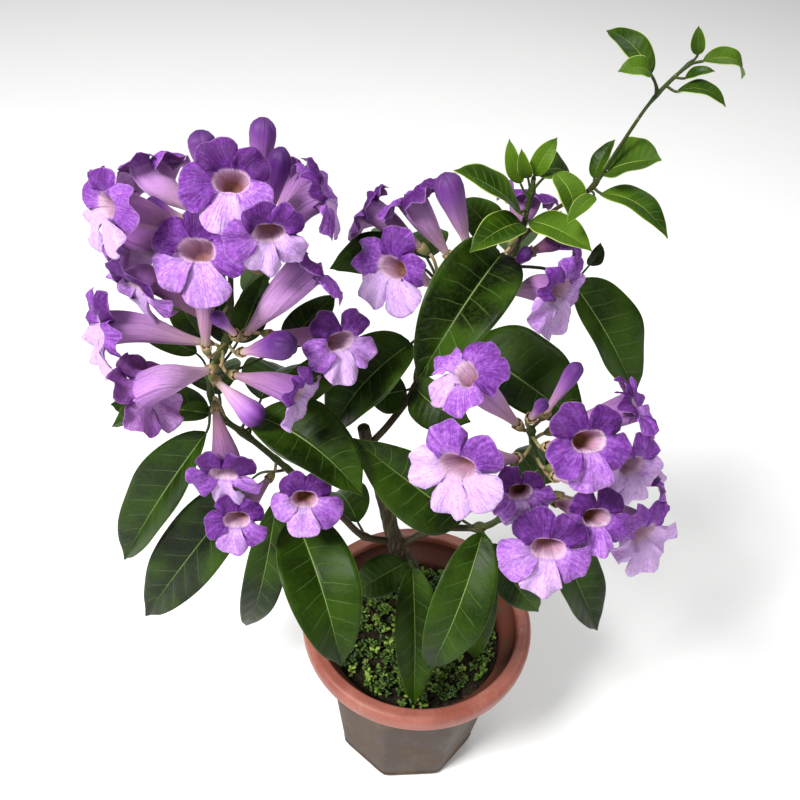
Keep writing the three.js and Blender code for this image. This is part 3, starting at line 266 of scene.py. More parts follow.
# Flowers, as in the part: placed like the stems' points, and some were then changed
LEFT_STEM_FLOWERS = {
    "lower_left_bloom_1": bloom(
        (-157, -6, 416), (-157, -28, 444), (-149, -54, 410), (-0.05, -0.97, -0.1), 25, 0.25,
        lean=(0, 0, 0.5), funnel=0.25,
    ),
    "lower_left_bloom_2": bloom(
        (-120, -12, 382), (-124, -26, 376), (-141, -63, 372), (0.1, -0.85, 0.4), 24, 0.1, turn=0.1
    ),
    "lower_left_bloom_3": bloom(
        (-106, -12, 368), (-102, -26, 372), (-93, -54, 389), (0.05, -0.8, 0.55), 24, 0.3
    ),
}
LEFT_FLOWERS = {
    "left_bloom_01": bloom(
        (-148, 9, 556), (-170, 0, 570), (-208, -24, 598), (-0.7, -0.6, 0.3), 28, 0.5, turn=-0.14, funnel=0.1
    ),
    "left_bloom_02": bloom(
        (-147, 9, 560), (-168, 22, 570), (-200, 36, 590), (-0.5, 0.65, 0.6), 25, 0.65, funnel=0.9
    ),
    "left_bloom_03": bloom(
        (-147, 10, 562), (-144, 0, 584), (-134, -26, 621), (0.05, -0.75, 0.65), 26, 0.3, turn=0.1
    ),
    "left_bud_04": bud((-148, 10, 562), (-158, 24, 582), (-164, 28, 624), 8.5, 0.35),
    "left_bud_05": bud((-147, 10, 564), (-130, 28, 580), (-126, 40, 630), 8, 0.35),
    "left_bud_06": bud((-147, 9, 556), (-124, 12, 568), (-111, 14, 624), 7, 0),
    "left_bloom_07": bloom((-147, 9, 552), (-122, 24, 552), (-103, 46, 586), (0.4, 0.75, 0.5), 23, 0.6),
    "left_bloom_08": bloom(
        (-147, 8, 548), (-121, 4, 548), (-88, 8, 597), (0.9, 0.15, 0.35), 25, 0.3, funnel=0.7
    ),
    "left_bloom_09": bloom(
        (-147, 8, 552), (-134, -14, 558), (-110, -49, 604), (0.15, -0.95, 0.05), 23, 0.45, turn=0.1
    ),
    "left_bloom_10": bloom(
        (-150, -4, 486), (-158, -30, 504), (-157, -30, 576), (-0.05, -0.85, 0.5), 28, 0.3, turn=-0.52,
        lean=(0, 0, 0.3),
    ),
    "left_bloom_11": bloom(
        (-147, 7, 540), (-168, 12, 536), (-212, 28, 546), (-0.75, 0.5, -0.1), 26, 0.3, funnel=0.1
    ),
    "left_bloom_12": bloom(
        (-147, 2, 516), (-166, -4, 508), (-203, -12, 535), (-0.45, -0.75, -0.4), 27, 0.4, funnel=0.25
    ),
    "left_bloom_14": bloom(
        (-150, -4, 490), (-136, -10, 500), (-92, -22, 564), (0.65, 0.55, 0.5), 27, 0.15, funnel=0.8
    ),
    "left_bloom_15": bloom(
        (-155, -5, 480), (-166, -10, 490), (-223, -30, 512), (-0.85, -0.5, 0.1), 28, 0.55,
        turn=-0.35, funnel=0.75,
    ),
    "left_bloom_17": bloom(
        (-154, -5, 482), (-160, -24, 478), (-193, -53, 484), (-0.75, 0, -0.6), 29, 0.3, funnel=1
    ),
    "left_bud_18": bud((-149, -3, 496), (-142, -18, 506), (-149, -36, 534), 4.6, 0.5),
    "left_bud_19": bud((-151, -4, 487), (-138, -16, 489), (-100, -44, 522), 9, 0.1),
    "left_bloom_20": bloom(
        (-156, -5, 478), (-144, -16, 468), (-98, -42, 479), (0.9, -0.45, -0.1), 23, 0.6, funnel=0.4
    ),
    "left_bloom_21": bloom(
        (-150, -3, 492), (-122, 4, 490), (-73, -12, 501), (0.5, -0.7, 0.45), 25, 0.45,
        turn=0.07, notch=DEEP_NOTCH, funnel=0.2,
    ),
    "left_bud_22": bud((-160, -5, 470), (-156, -20, 464), (-123, -40, 448), 8.5, 0.65),
    "left_bud_23": bud((-148, 8, 548), (-175, 10, 573), (-196, 8, 585), 4.4, 0),
}
MIDDLE_FLOWERS = {
    "middle_bloom_1": bloom(
        (-10, 40, 514), (-15, 26, 526), (-41, 6, 550), (-0.55, -0.75, 0.4), 27, 0.55,
        turn=-0.17, notch=DEEP_NOTCH, funnel=0.8,
    ),
    "middle_bloom_2": bloom(
        (-4, 41, 522), (-6, 40, 542), (-33, 46, 578), (-0.6, 0.4, 0.7), 23, 0.1, funnel=0.85
    ),
    "middle_bud_3": bud((2, 40, 528), (8, 38, 549), (-13, 34, 604), 9, 0.4),
    "middle_bloom_4": bloom((-10, 41, 516), (-24, 52, 538), (-60, 66, 556), (-0.85, 0.3, 0.3), 22, 0.15),
    "middle_bloom_5": bloom(
        (16, 37, 536), (38, 50, 552), (46, 78, 566), (0.1, 0.6, 0.8), 22, 0.3, funnel=0.3
    ),
    "middle_bloom_6": bloom(
        (20, 36, 538), (38, 14, 533), (64, -8, 551), (0.7, -0.65, 0.1), 27, 0.6, notch=DEEP_NOTCH
    ),
    "middle_bud_7": bud((26, 34, 540), (36, 8, 556), (42, -3, 576), 4.4, 0),
    "middle_bloom_8": bloom(
        (26, 34, 540), (48, 16, 564), (66, 18, 575), (0.8, 0.1, 0.6), 16, 0.3, funnel=0
    ),
}
RIGHT_FLOWERS = {
    "right_bloom_01": bloom(
        (52, -72, 490), (42, -76, 498), (7, -82, 539), (-0.55, -0.2, 0.8), 25, 0.4,
        turn=0.2, notch=DEEP_NOTCH, funnel=0.8,
    ),
    "right_bud_02": bud((52, -72, 490), (60, -68, 502), (73, -70, 544), 5, 0.3),
    "right_bud_03": bud((52, -72, 489), (50, -78, 506), (54, -86, 526), 4, 0.3),
    "right_bloom_04": bloom(
        (55, -73, 480), (44, -86, 478), (5, -127, 509), (-0.35, -0.85, 0.4), 28, 0.85, notch=DEEP_NOTCH
    ),
    "right_bloom_05": bloom((66, -72, 442), (58, -84, 448), (46, -108, 472), (0.2, -0.9, 0.4), 20, 0.25),
    "right_bloom_06": bloom((53, -73, 486), (62, -88, 492), (78, -112, 522), (0.15, -0.75, 0.6), 25, 0.1),
    "right_bloom_07": bloom((55, -73, 480), (70, -62, 482), (112, -66, 510), (0.75, 0, 0.6), 23, 0.1),
    "right_bloom_08": bloom((65, -73, 450), (80, -62, 448), (142, -54, 443), (0.9, 0, 0.3), 23, 0.3),
    "right_bloom_09": bloom(
        (66, -72, 444), (76, -86, 440), (95, -112, 458), (0.1, -0.75, 0.6), 22, 0.05, funnel=0.15
    ),
    "right_bloom_10": bloom((67, -71, 438), (82, -72, 430), (138, -84, 414), (0.5, -0.85, 0.2), 26, 0.75),
    "right_bloom_11": bloom(
        (67, -70, 434), (62, -86, 430), (66, -130, 447), (-0.05, -0.9, 0.4), 27, 0.4, funnel=0
    ),
    "right_bloom_12": bloom(
        (59, -73, 468), (72, -82, 468), (116, -84, 477), (0.4, -0.85, 0.35), 22, 0.65, funnel=0.1
    ),
    "right_bud_13": bud((62, -73, 462), (70, -91, 469), (84, -118, 494), 5, 1),
    "right_bud_14": bud((66, -71, 436), (56, -80, 430), (52, -98, 438), 3.8, 0.5),
}


# Helpers for directions and curves


def vec(p):
    return np.array(p, dtype=float)


def unit(p):
    p = vec(p)
    return p / np.linalg.norm(p)


def units(rows):
    """Each row at length 1."""
    return rows / np.linalg.norm(rows, axis=1)[:, None]


def polar(radius, angle):
    """The x and y of a point on a round."""
    return radius * math.cos(angle), radius * math.sin(angle)


def all_round(count):
    """Evenly spaced angles over a full turn."""
    return np.linspace(0, TURN, count, endpoint=False)


def circle(side, up, angles):
    """Points at angles round the circle that two cross directions span."""
    return side[..., None, :] * np.cos(angles)[..., None] + up[..., None, :] * np.sin(angles)[..., None]


def smooth(x, low=0.0, high=1.0):
    """0 below low, 1 above high, and an easy slope between them."""
    t = np.clip((np.asarray(x, dtype=float) - low) / (high - low), 0, 1)
    return t * t * (3 - 2 * t)


def cross_axes(axis, turn=0.0):
    """Two directions square to an axis, turned by an angle round it."""
    helper = UP if abs(axis[2]) < 0.9 else vec((0, 1, 0))
    side = unit(np.cross(helper, axis))
    up = np.cross(axis, side)
    return side * math.cos(turn) + up * math.sin(turn), up * math.cos(turn) - side * math.sin(turn)


def bezier(points, t):
    """Points and directions of a Bezier curve with three or four controls."""
    t = np.asarray(t, dtype=float)[:, None]
    if len(points) == 3:
        a, b, c = points
        place = (1 - t) ** 2 * a + 2 * t * (1 - t) * b + t * t * c
        along = 2 * (1 - t) * (b - a) + 2 * t * (c - b)
    else:
        a, b, c, d = points
        place = (1 - t) ** 3 * a + 3 * t * (1 - t) ** 2 * b + 3 * t * t * (1 - t) * c + t**3 * d
        along = 3 * (1 - t) ** 2 * (b - a) + 6 * t * (1 - t) * (c - b) + 3 * t * t * (d - c)
    return place, units(along)


def smooth_path(points, count):
    """A centripetal curve through the points, in even steps."""
    p = [vec(q) for q in points]
    p = [2 * p[0] - p[1]] + p + [2 * p[-1] - p[-2]]
    line = []
    for a, b, c, d in zip(p, p[1:], p[2:], p[3:]):
        gaps = [math.sqrt(np.linalg.norm(y - x)) for x, y in ((a, b), (b, c), (c, d))]
        leave = (b - a) / gaps[0] - (c - a) / (gaps[0] + gaps[1]) + (c - b) / gaps[1]
        arrive = (c - b) / gaps[1] - (d - b) / (gaps[1] + gaps[2]) + (d - c) / gaps[2]
        leave = leave * gaps[1]
        arrive = arrive * gaps[1]
        for t in np.linspace(0, 1, 16, endpoint=False):
            square = -3 * b + 3 * c - 2 * leave - arrive
            cube = 2 * b - 2 * c + leave + arrive
            line.append(b + t * leave + t * t * square + t**3 * cube)
    line.append(p[-2])
    line = np.array(line)
    run = np.concatenate([[0], np.cumsum(np.linalg.norm(np.diff(line, axis=0), axis=1))])
    even = np.linspace(0, run[-1], count)
    return np.stack([np.interp(even, run, line[:, k]) for k in range(3)], axis=1)


def path_frames(path):
    """Two cross directions at each point of a path, without twist."""
    along = units(np.gradient(path, axis=0))
    side = [cross_axes(along[0])[0]]
    for direction in along[1:]:
        side.append(unit(side[-1] - direction * np.dot(side[-1], direction)))
    side = np.array(side)
    return side, np.cross(along, side)


def ripple(x, y, z, seed):
    """Soft seeded noise from -1 to 1."""
    return noise.noise(Vector((x + 17.3 * seed, y - 9.1 * seed, z + 5.7 * seed)))


def link_object(name, data):
    """A new object in the scene, at its origin."""
    made = bpy.data.objects.new(name, data)
    bpy.context.collection.objects.link(made)
    return made


class Growth:
    """One mesh in the making: points, faces, and the named numbers that its materials read."""

    NUMBERS = ("along", "across", "inner", "age", "seed", "funnel")

    def __init__(self):
        self.points = []
        self.faces = []
        self.slots = []
        self.numbers = {name: [] for name in self.NUMBERS}
        self.count = 0

    def add(self, points, **numbers):
        """Adds points of any array shape and returns their indices in that shape."""
        points = np.asarray(points, dtype=float)
        shape = points.shape[:-1]
        flat = points.reshape(-1, 3)
        self.points.append(flat)
        for name in self.NUMBERS:
            value = np.broadcast_to(np.asarray(numbers.get(name, 0.0), dtype=float), shape)
            self.numbers[name].append(value.reshape(-1))
        indices = np.arange(self.count, self.count + len(flat)).reshape(shape)
        self.count += len(flat)
        return indices

    def face(self, corners, slot=0):
        self.faces.append([int(c) for c in corners])
        self.slots.append(slot)

    def skin(self, rows, slot=0, closed=False):
        """Quads over a grid of indices; closed joins each row's last point to its first."""
        rows = np.asarray(rows)
        if closed:
            rows = np.concatenate([rows, rows[:, :1]], axis=1)
        quads = np.stack([rows[:-1, :-1], rows[:-1, 1:], rows[1:, 1:], rows[1:, :-1]], axis=-1)
        quads = quads.reshape(-1, 4).tolist()
        self.faces.extend(quads)
        self.slots.extend([slot] * len(quads))

    def cap(self, ring, centre, slot=0, **numbers):
        """Closes a ring with triangles to a new point."""
        middle = self.add(vec(centre), **numbers)
        for a, b in zip(ring, np.roll(ring, -1)):
            self.face((a, b, middle), slot)

    def mesh(self, name):
        made = bpy.data.meshes.new(name)
        made.from_pydata((np.concatenate(self.points) * MM).tolist(), [], self.faces)
        return made

    def build(self, name, materials, slot_name, *nodes):
        """Makes the object, which rides on the plant and stands for the CAD nodes named."""
        mesh = self.mesh(name)
        for number, values in self.numbers.items():
            field = mesh.attributes.new(number, "FLOAT", "POINT")
            field.data.foreach_set("value", np.concatenate(values).astype(np.float32))
        for material in materials:
            mesh.materials.append(material)
        mesh.polygons.foreach_set("material_index", self.slots)
        work = bmesh.new()
        work.from_mesh(mesh)
        bmesh.ops.recalc_face_normals(work, faces=work.faces)
        work.to_mesh(mesh)
        work.free()
        mesh.polygons.foreach_set("use_smooth", [True] * len(mesh.polygons))
        mesh.update()
        piece = link_object(name, mesh)
        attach(piece, "root")
        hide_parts(*nodes)
        return piece


# Stems, leaves and flowers


def grow_tube(growth, path, radii, sides, slot=0, relief=0.0, **numbers):
    """A round stem along a path, closed at both ends."""
    path = np.asarray(path)
    radii = np.broadcast_to(np.asarray(radii, dtype=float), len(path))
    side, up = path_frames(path)
    angles = all_round(sides)
    bumps = np.ones((len(path), sides))
    if relief:
        for i in range(len(path)):
            for j, angle in enumerate(angles):
                bumps[i, j] += relief * ripple(*polar(1.7, angle), i * 0.35, 3)
    reach = (radii[:, None] * bumps)[..., None]
    share = np.linspace(0, 1, len(path))[:, None]
    place = path[:, None] + circle(side, up, angles) * reach
    rows = growth.add(place, along=share, across=angles / TURN, **numbers)
    growth.skin(rows, slot, closed=True)
    growth.cap(rows[0], path[0], slot, along=0.0, **numbers)
    growth.cap(rows[-1], path[-1], slot, along=1.0, **numbers)


def grow_stem(growth, points, start_radius, end_radius, joints, sides=12, relief=0.05, **numbers):
    """A tapered stem that swells a little where leaves join it."""
    length = sum(np.linalg.norm(vec(b) - vec(a)) for a, b in zip(points, points[1:]))
    count = max(12, int(length / 3))
    path = smooth_path(points, count)
    radii = np.linspace(start_radius, end_radius, count)
    for joint in joints:
        distance = np.linalg.norm(path - vec(joint), axis=1)
        if distance.min() < JOINT_LIMIT:
            radii = radii + JOINT_SWELL * radii * np.exp(-((distance / JOINT_REACH) ** 2))
    grow_tube(growth, path, radii, sides, relief=relief, **numbers)


def blade_width(t):
    """Leaf outline, as in the part, with a drawn-out tip."""
    outline = 2.745 * np.power(t, 0.6) * np.power(1 - t, 0.9)
    return outline * (1 - 0.3 * smooth(t, 0.86, 0.97) * (1 - smooth(t, 0.985, 1.0)))


def blade_relief(data, seed, t, u, spread):
    """The blade's height: folded up along the midrib, waved at its edges, quilted by veins and twisted."""
    out = np.abs(u)
    phase = 2.1 * seed
    lift = np.abs(spread) * (math.sin(data["fold"]) + 0.1 - 0.1 * out**2)
    half = np.abs(spread[:, :1])
    wave = np.sin(TURN * EDGE_WAVES * t + phase + 1.3 * np.sign(u)) * EDGE_WAVE * half * out**3
    veins = VEIN_PAIRS * t - VEIN_SLANT * out + VEIN_STAGGER * (u > 0)
    quilt = -VEIN_RELIEF * data["width"] * np.cos(TURN * veins) * smooth(out, 0.05, 0.3) * (1 - out**4)
    twist = 0.09 * math.sin(phase) * (t - 0.3) * spread
    return lift + wave + quilt + twist


def grow_petiole(growth, data, seed, foot, along, normal, length):
    """The leaf's stalk, from inside the stem to a little way under the blade."""
    start = vec(data["start"])
    reach = np.linalg.norm(foot - start)
    into = foot + along * min(6.0, 0.08 * length) - normal * 0.8
    leave = start + (unit(foot - start) + 0.4 * unit(normal)) * 0.4 * reach
    arrive = foot - along * 0.35 * reach - normal * 0.5
    share = np.linspace(0, 1, 9)
    stalk, _ = bezier((start, leave, arrive, into), share)
    size = 0.55 + 0.45 * min(1.0, data["width"] / 40)
    swell = 1 + 0.35 * np.exp(-((share / 0.12) ** 2)) - 0.45 * smooth(share, 0.8, 1.0)
    grow_tube(growth, stalk, PETIOLE_RADIUS * size * swell, 8, STALK_SLOT, age=data["age"], seed=seed)


def grow_leaf(growth, data, seed):
    """A thin closed blade, arched from foot to tip, with a raised midrib and its petiole."""
    foot, tip = vec(data["foot"]), vec(data["tip"])
    chord = tip - foot
    length = np.linalg.norm(chord)
    face = unit(data["face"])
    face = unit(face - chord * np.dot(face, chord) / length**2)
    bend = (foot + tip) / 2 + face * 2 * data["arch"] * length
    t = np.linspace(0.004, 0.996, BLADE_ROWS)
    middle, along = bezier((foot, bend, tip), t)
    side = units(np.cross(along, face))
    normal = np.cross(side, along)
    half = np.maximum(0.5 * data["width"] * blade_width(t), 0.15)
    t = t[:, None]
    u = np.linspace(-1, 1, BLADE_COLUMNS)
    u = np.sign(u) * np.abs(u) ** 1.2
    spread = half[:, None] * u
    top = middle[:, None] + side[:, None] * (spread * math.cos(data["fold"]))[..., None]
    top = top + normal[:, None] * blade_relief(data, seed, t, u, spread)[..., None]
    rib = MIDRIB_HEIGHT * np.exp(-((spread / 0.9) ** 2)) * (1 - t) ** 0.6
    thickness = BLADE_THICKNESS * (1 - 0.5 * np.abs(u) ** 6) + rib
    under = top - normal[:, None] * thickness[..., None]
    numbers = {"along": t, "across": u, "age": data["age"], "seed": seed}
    upper = growth.add(top, inner=1.0, **numbers)
    lower = growth.add(under, inner=0.0, **numbers)
    growth.skin(np.concatenate([upper, lower[:, ::-1]], axis=1), closed=True)
    for end in (0, -1):
        growth.skin(np.stack([upper[end], lower[end]]))
    grow_petiole(growth, data, seed, foot, along[0], normal[0], length)


def flower_axis(flower):
    """The direction in which a flower leaves its calyx."""
    straight = unit(vec(flower["mouth"]) - vec(flower["base"]))
    return unit(straight + vec(flower["lean"]))


def grow_calyx(growth, flower, seed):
    """A pedicel that widens into a cup with five shallow teeth."""
    axis = flower_axis(flower)
    base = vec(flower["base"])
    neck = base - axis * CALYX_LENGTH
    start = vec(flower["start"])
    reach = np.linalg.norm(neck - start)
    controls = (start, start + UP * 0.15 * reach, neck - axis * 0.3 * reach, neck)
    stalk, _ = bezier(controls, np.linspace(0, 1, 8))
    grow_tube(growth, stalk, PEDICEL_RADIUS, 8, seed=seed)
    side, up = cross_axes(axis)
    angles = all_round(CALYX_SIDES)
    teeth = TOOTH_HEIGHT * np.cos(LOBES * angles)
    rows = []
    for shell, wall in ((0.0, CALYX_OUTSIDE), (1.0, CALYX_INSIDE)):
        for height, radius in wall:
            rise = height + teeth * TOOTH_SHARES.get(height, 0)
            place = base + circle(side * radius, up * radius, angles) + axis * rise[:, None]
            rows.append(growth.add(place, along=1 + height / CALYX_LENGTH, inner=shell, seed=seed))
    growth.skin(rows, closed=True)
    growth.cap(rows[0], neck, seed=seed)
    growth.cap(rows[-1], base - axis * (CALYX_DEPTH + 0.4), inner=1.0, seed=seed)


def lobe_share(angles):
    """-1 at the notch before a lobe, 0 at its middle and 1 at the notch after it."""
    return (angles / TURN * LOBES) % 1.0 * 2 - 1


def limb_edge(share, radius, notch):
    """How far a lobe's edge reaches, by its share from notch to notch."""
    rounded = np.power(1 - np.minimum(np.abs(share), 1) ** 2.3, 0.435)
    dent = 0.035 * np.exp(-((share / 0.16) ** 2))
    return radius * (notch + (1 - notch) * rounded - dent)


def grow_corolla(growth, flower, seed):
    """An open flower: one thin closed shell of a funnel and five ruffled lobes."""
    axis = flower_axis(flower)
    face = unit(flower["face"])
    base, mouth = vec(flower["base"]), vec(flower["mouth"])
    reach = np.linalg.norm(mouth - base)
    right, up = cross_axes(face, flower["turn"])
    columns = LOBES * LOBE_COLUMNS
    angles = all_round(columns)
    t = np.linspace(0, 1, TUBE_ROWS)
    middle, along = bezier((base, base + axis * 0.4 * reach, mouth - face * 0.38 * reach, mouth), t)
    side = units(right - along * (along @ right)[:, None])
    ring = circle(side, np.cross(along, side), angles)
    mouth_radius = MOUTH_SHARE * flower["radius"]
    radii = TUBE_FOOT_RADIUS + (mouth_radius - TUBE_FOOT_RADIUS) * (1.25 * t - 0.25 * t * t)
    flare = FLARE_SHARE * flower["radius"] * smooth(t, 0.1, 0.9)
    _, tall = cross_axes(face)
    sines = right @ tall * np.cos(angles) + up @ tall * np.sin(angles)
    flat = 1 - MOUTH_FLATNESS * sines**2 * smooth(t, 0.35, 1.0)[:, None]
    ribs = flat * (1 + 0.03 * np.cos(LOBES * angles) * smooth(t, 0.1, 0.5)[:, None])
    throat_row = int(np.searchsorted(t, 1 - THROAT_DEPTH / reach))
    numbers = {"age": flower["age"], "seed": seed, "funnel": flower["funnel"]}
    tube = []
    for shell, wall, first in ((0.0, -flare, 0), (1.0, PETAL_THICKNESS, throat_row)):
        width = (radii - wall)[:, None] * ribs
        if shell:
            width = width * (0.62 + 0.38 * smooth(t, t[throat_row], 0.97))[:, None]
        place = middle[:, None] + ring * width[..., None]
        marks = {"along": 0.5 * t[first:, None], "across": lobe_share(angles), "inner": shell}
        tube.append(growth.add(place[first:], **marks, **numbers))
        growth.skin(tube[-1], closed=True)
    growth.cap(tube[0][0], base - axis * TUBE_FOOT_DEPTH, **numbers)
    floor = middle[throat_row] - along[throat_row] * 2
    growth.cap(tube[1][0], floor, along=0.5 * t[throat_row] - 0.05, inner=1.0, **numbers)
    for lobe in range(LOBES):
        columns_here = [(lobe * LOBE_COLUMNS + k) % columns for k in range(LOBE_COLUMNS + 1)]
        joints = [[row[-1][k] for k in columns_here] for row in tube]
        grow_lobe(growth, flower, lobe, (face, right, up), flat[-1, columns_here], joints, seed)


def grow_lobe(growth, flower, lobe, axes, flat, joints, seed):
    """One ruffled lobe; the upper ones stand up and are darkened as painted shade, the lower ones spread and
    are paled as painted light.
    """
    face, right, up = axes
    mouth_radius = MOUTH_SHARE * flower["radius"] * flat
    s = np.linspace(0, 1, LIMB_ROWS + 1)[1:] ** 0.9
    a = np.linspace(-1, 1, LOBE_COLUMNS + 1)
    rise = s[:, None]
    centre = (lobe + 0.5) * TURN / LOBES
    leaning = math.cos(centre) * right[2] + math.sin(centre) * up[2]
    own = [ripple(1.7 * lobe + 0.4, 0.3, 3.1 * k, seed) for k in range(7)]
    longest = flower["radius"] * (1.06 - 0.06 * leaning + 0.22 * own[0])
    edge = limb_edge(a, longest, flower["notch"] - 0.12)
    out = mouth_radius[None, :] + (edge - mouth_radius)[None, :] * rise
    swing = centre + 0.2 * own[4] * rise + a[None, :] * (math.pi / LOBES) * (1 + 0.16 * rise)
    curl = 4.0 + 3.0 * max(leaning, 0) + 7 * own[1]
    height = LIMB_RISE * (1 - np.exp(-3.0 * rise)) - curl * rise**2
    height = height + RUFFLE * rise**2 * np.sin(2.2 * math.pi * a + 6 * own[2])[None, :]
    height = height + FINE_RUFFLE * rise**3 * np.sin(8.5 * a + 9 * own[3])[None, :]
    height = height + (1.3 + 3 * own[6]) * a[None, :] * smooth(rise, 0.05, 0.7)
    height = height - LIMB_CREASE * rise * (1 - 0.7 * rise) * np.exp(-((a / 0.3) ** 2))[None, :]
    direction = circle(right, up, swing)
    sheet = vec(flower["mouth"]) + direction * out[..., None] + face * height[..., None]
    sheet = sheet - UP * (LIMB_SAG * rise**2)[..., None]
    for i, j in np.ndindex(sheet.shape[:2]):
        x, y, z = sheet[i, j] / 3.0
        sheet[i, j] += face * (CRUMPLE * s[i] * ripple(x, y, z, seed))
    # Painted light and shade: the age number is raised on lower lobes, which face up to the light, and
    # lowered on upper ones, which face down into shade
    painted_light_shift = LOWER_LOBES_PAINTED_LIGHT if leaning < 0 else UPPER_LOBES_PAINTED_SHADE
    age = flower["age"] + 0.25 * own[5] - painted_light_shift * leaning
    numbers = {"age": float(np.clip(age, 0.02, 1)), "seed": seed, "funnel": flower["funnel"]}
    faces = []
    for shell, joint in enumerate(joints):
        wall = PETAL_THICKNESS * (1 - 0.6 * rise**3)[..., None] * shell
        marks = {"along": 0.5 + 0.5 * rise, "across": a[None, :], "inner": float(shell)}
        flare = FLARE_SHARE * flower["radius"] * (1 - shell) * np.maximum(1 - 1.6 * rise, 0)[..., None] ** 2
        grid = growth.add(sheet + face * wall + direction * flare, **marks, **numbers)
        grid = np.concatenate([[joint], grid])
        growth.skin(grid)
        faces.append(grid)
    growth.skin(np.stack([faces[0][-1], faces[1][-1]]))
    for end in (0, -1):
        growth.skin(np.stack([faces[0][:, end], faces[1][:, end]]))


def grow_bud(growth, flower, seed):
    """A closed bud: a club with five soft folds that meet at its tip."""
    base, tip = vec(flower["base"]), vec(flower["mouth"])
    axis = flower_axis(flower)
    reach = np.linalg.norm(tip - base)
    ahead = unit(tip - base)
    t = np.linspace(0, 0.985, BUD_ROWS)
    middle, along = bezier((base, base + axis * 0.35 * reach, tip - ahead * 0.35 * reach, tip), t)
    widths = [share * flower["radius"] for share in BUD_WIDTHS]
    club = np.interp(t, BUD_STATIONS, [max(TUBE_FOOT_RADIUS, width) for width in widths])
    radii = np.where(t > 0.9, np.interp(t, BUD_STATIONS, widths), club)
    side, over = cross_axes(unit(along.mean(axis=0)))
    angles = all_round(BUD_SIDES)
    twist = LOBES * angles + 3.0 * t[:, None] + 2.0 * np.sin(angles + seed)
    fold = 1 + (0.14 * np.abs(np.sin(twist / 2)) - 0.05) * smooth(t, 0.5, 0.85)[:, None]
    place = middle[:, None] + circle(side, over, angles) * (radii[:, None] * fold)[..., None]
    numbers = {"age": flower["age"], "seed": seed}
    rows = growth.add(place, along=t[:, None], across=lobe_share(angles), **numbers)
    growth.skin(rows, closed=True)
    growth.cap(rows[0], base - axis * TUBE_FOOT_DEPTH, **numbers)
    growth.cap(rows[-1], tip, along=1.0, **numbers)


# Materials


def colour(red, green, blue):
    """A screen colour, from 0 to 255, as Blender's linear one."""
    linear = [c / 3294.6 if c <= 10.3 else ((c / 255 + 0.055) / 1.055) ** 2.4 for c in (red, green, blue)]
    return (*linear, 1.0)


class Look:
    """A material whose colour, roughness and relief are made by nodes; constants sit on the shader itself."""

    def __init__(self, name, **constants):
        self.material = bpy.data.materials.new(name)
        self.material.use_nodes = True
        self.tree = self.material.node_tree
        self.shader = next(n for n in self.tree.nodes if n.type == "BSDF_PRINCIPLED")
        for socket, value in constants.items():
            self.shader.inputs[socket.replace("_", " ")].default_value = value

    def node(self, kind, **settings):
        made = self.tree.nodes.new(kind)
        for name, value in settings.items():
            setattr(made, name, value)
        return made

    def feed(self, socket, value):
        """Links a socket, or sets it to a number or to a screen colour's three numbers."""
        if isinstance(value, bpy.types.NodeSocket):
            self.tree.links.new(value, socket)
        elif isinstance(value, tuple):
            socket.default_value = colour(*value)
        else:
            socket.default_value = value

    def number(self, name):
        """One of the numbers kept on the mesh's points."""
        return self.node("ShaderNodeAttribute", attribute_name=name).outputs["Fac"]

    def numbers(self, *names):
        return [self.number(name) for name in names]

    def place(self):
        """Coordinates in the object's own frame, in metres."""
        return self.node("ShaderNodeTexCoord").outputs["Object"]

    def axes(self):
        made = self.node("ShaderNodeSeparateXYZ")
        self.feed(made.inputs[0], self.place())
        return made.outputs

    def math(self, operation, *values):
        made = self.node("ShaderNodeMath", operation=operation)
        for socket, value in zip(made.inputs, values):
            self.feed(socket, value)
        return made.outputs[0]

    def times(self, value, factor):
        return self.math("MULTIPLY", value, factor)

    def minus(self, value, less):
        return self.math("SUBTRACT", value, less)

    def plus(self, value, *more):
        for other in more:
            value = self.math("ADD", value, other)
        return value

    def band(self, value, low, high, start=0.0, end=1.0):
        """Moves smoothly from start to end as the value goes from low to high."""
        made = self.node("ShaderNodeMapRange", interpolation_type="SMOOTHSTEP")
        for socket, number in zip(made.inputs, (value, low, high, start, end)):
            self.feed(socket, number)
        return made.outputs[0]

    def sway(self, grain, start, end):
        """Moves from start to end over the usual reach of a grain."""
        return self.band(grain, 0.3, 0.7, start, end)

    def ramp(self, value, *stops):
        made = self.node("ShaderNodeValToRGB")
        elements = made.color_ramp.elements
        while len(elements) < len(stops):
            elements.new(0.5)
        for element, (position, shade) in zip(elements, stops):
            element.position = position
            element.color = colour(*shade)
        self.feed(made.inputs[0], value)
        return made.outputs["Color"]

    def mix(self, share, first, second):
        made = self.node("ShaderNodeMix", data_type="RGBA")
        for index, value in ((0, share), (6, first), (7, second)):
            self.feed(made.inputs[index], value)
        return made.outputs[2]

    def tint(self, shade, tone, value, low, high, most):
        """Brings in a tone as the value goes from low to high, up to a share of most."""
        return self.mix(self.band(value, low, high, 0.0, most), shade, tone)

    def grain(self, scale, detail=3.0, vector=None, roughness=0.5):
        made = self.node("ShaderNodeTexNoise")
        self.feed(made.inputs["Vector"], vector or self.place())
        self.feed(made.inputs["Scale"], scale)
        self.feed(made.inputs["Detail"], detail)
        self.feed(made.inputs["Roughness"], roughness)
        return made.outputs[0]

    def streaks(self, parts, factors, detail=3, roughness=0.5):
        """A grain over three parts, drawn out along those with a small factor."""
        made = self.node("ShaderNodeCombineXYZ")
        for socket, part, factor in zip(made.inputs, parts, factors):
            self.feed(socket, self.times(part, factor))
        return self.grain(1.0, detail, made.outputs[0], roughness)

    def finish(self, shade, roughness, relief=None, depth=0.0003):
        self.feed(self.shader.inputs["Base Color"], shade)
        self.feed(self.shader.inputs["Roughness"], roughness)
        if relief is not None:
            made = self.node("ShaderNodeBump")
            self.feed(made.inputs["Distance"], depth)
            self.feed(made.inputs["Height"], relief)
            self.feed(self.shader.inputs["Normal"], made.outputs[0])
        return self.material


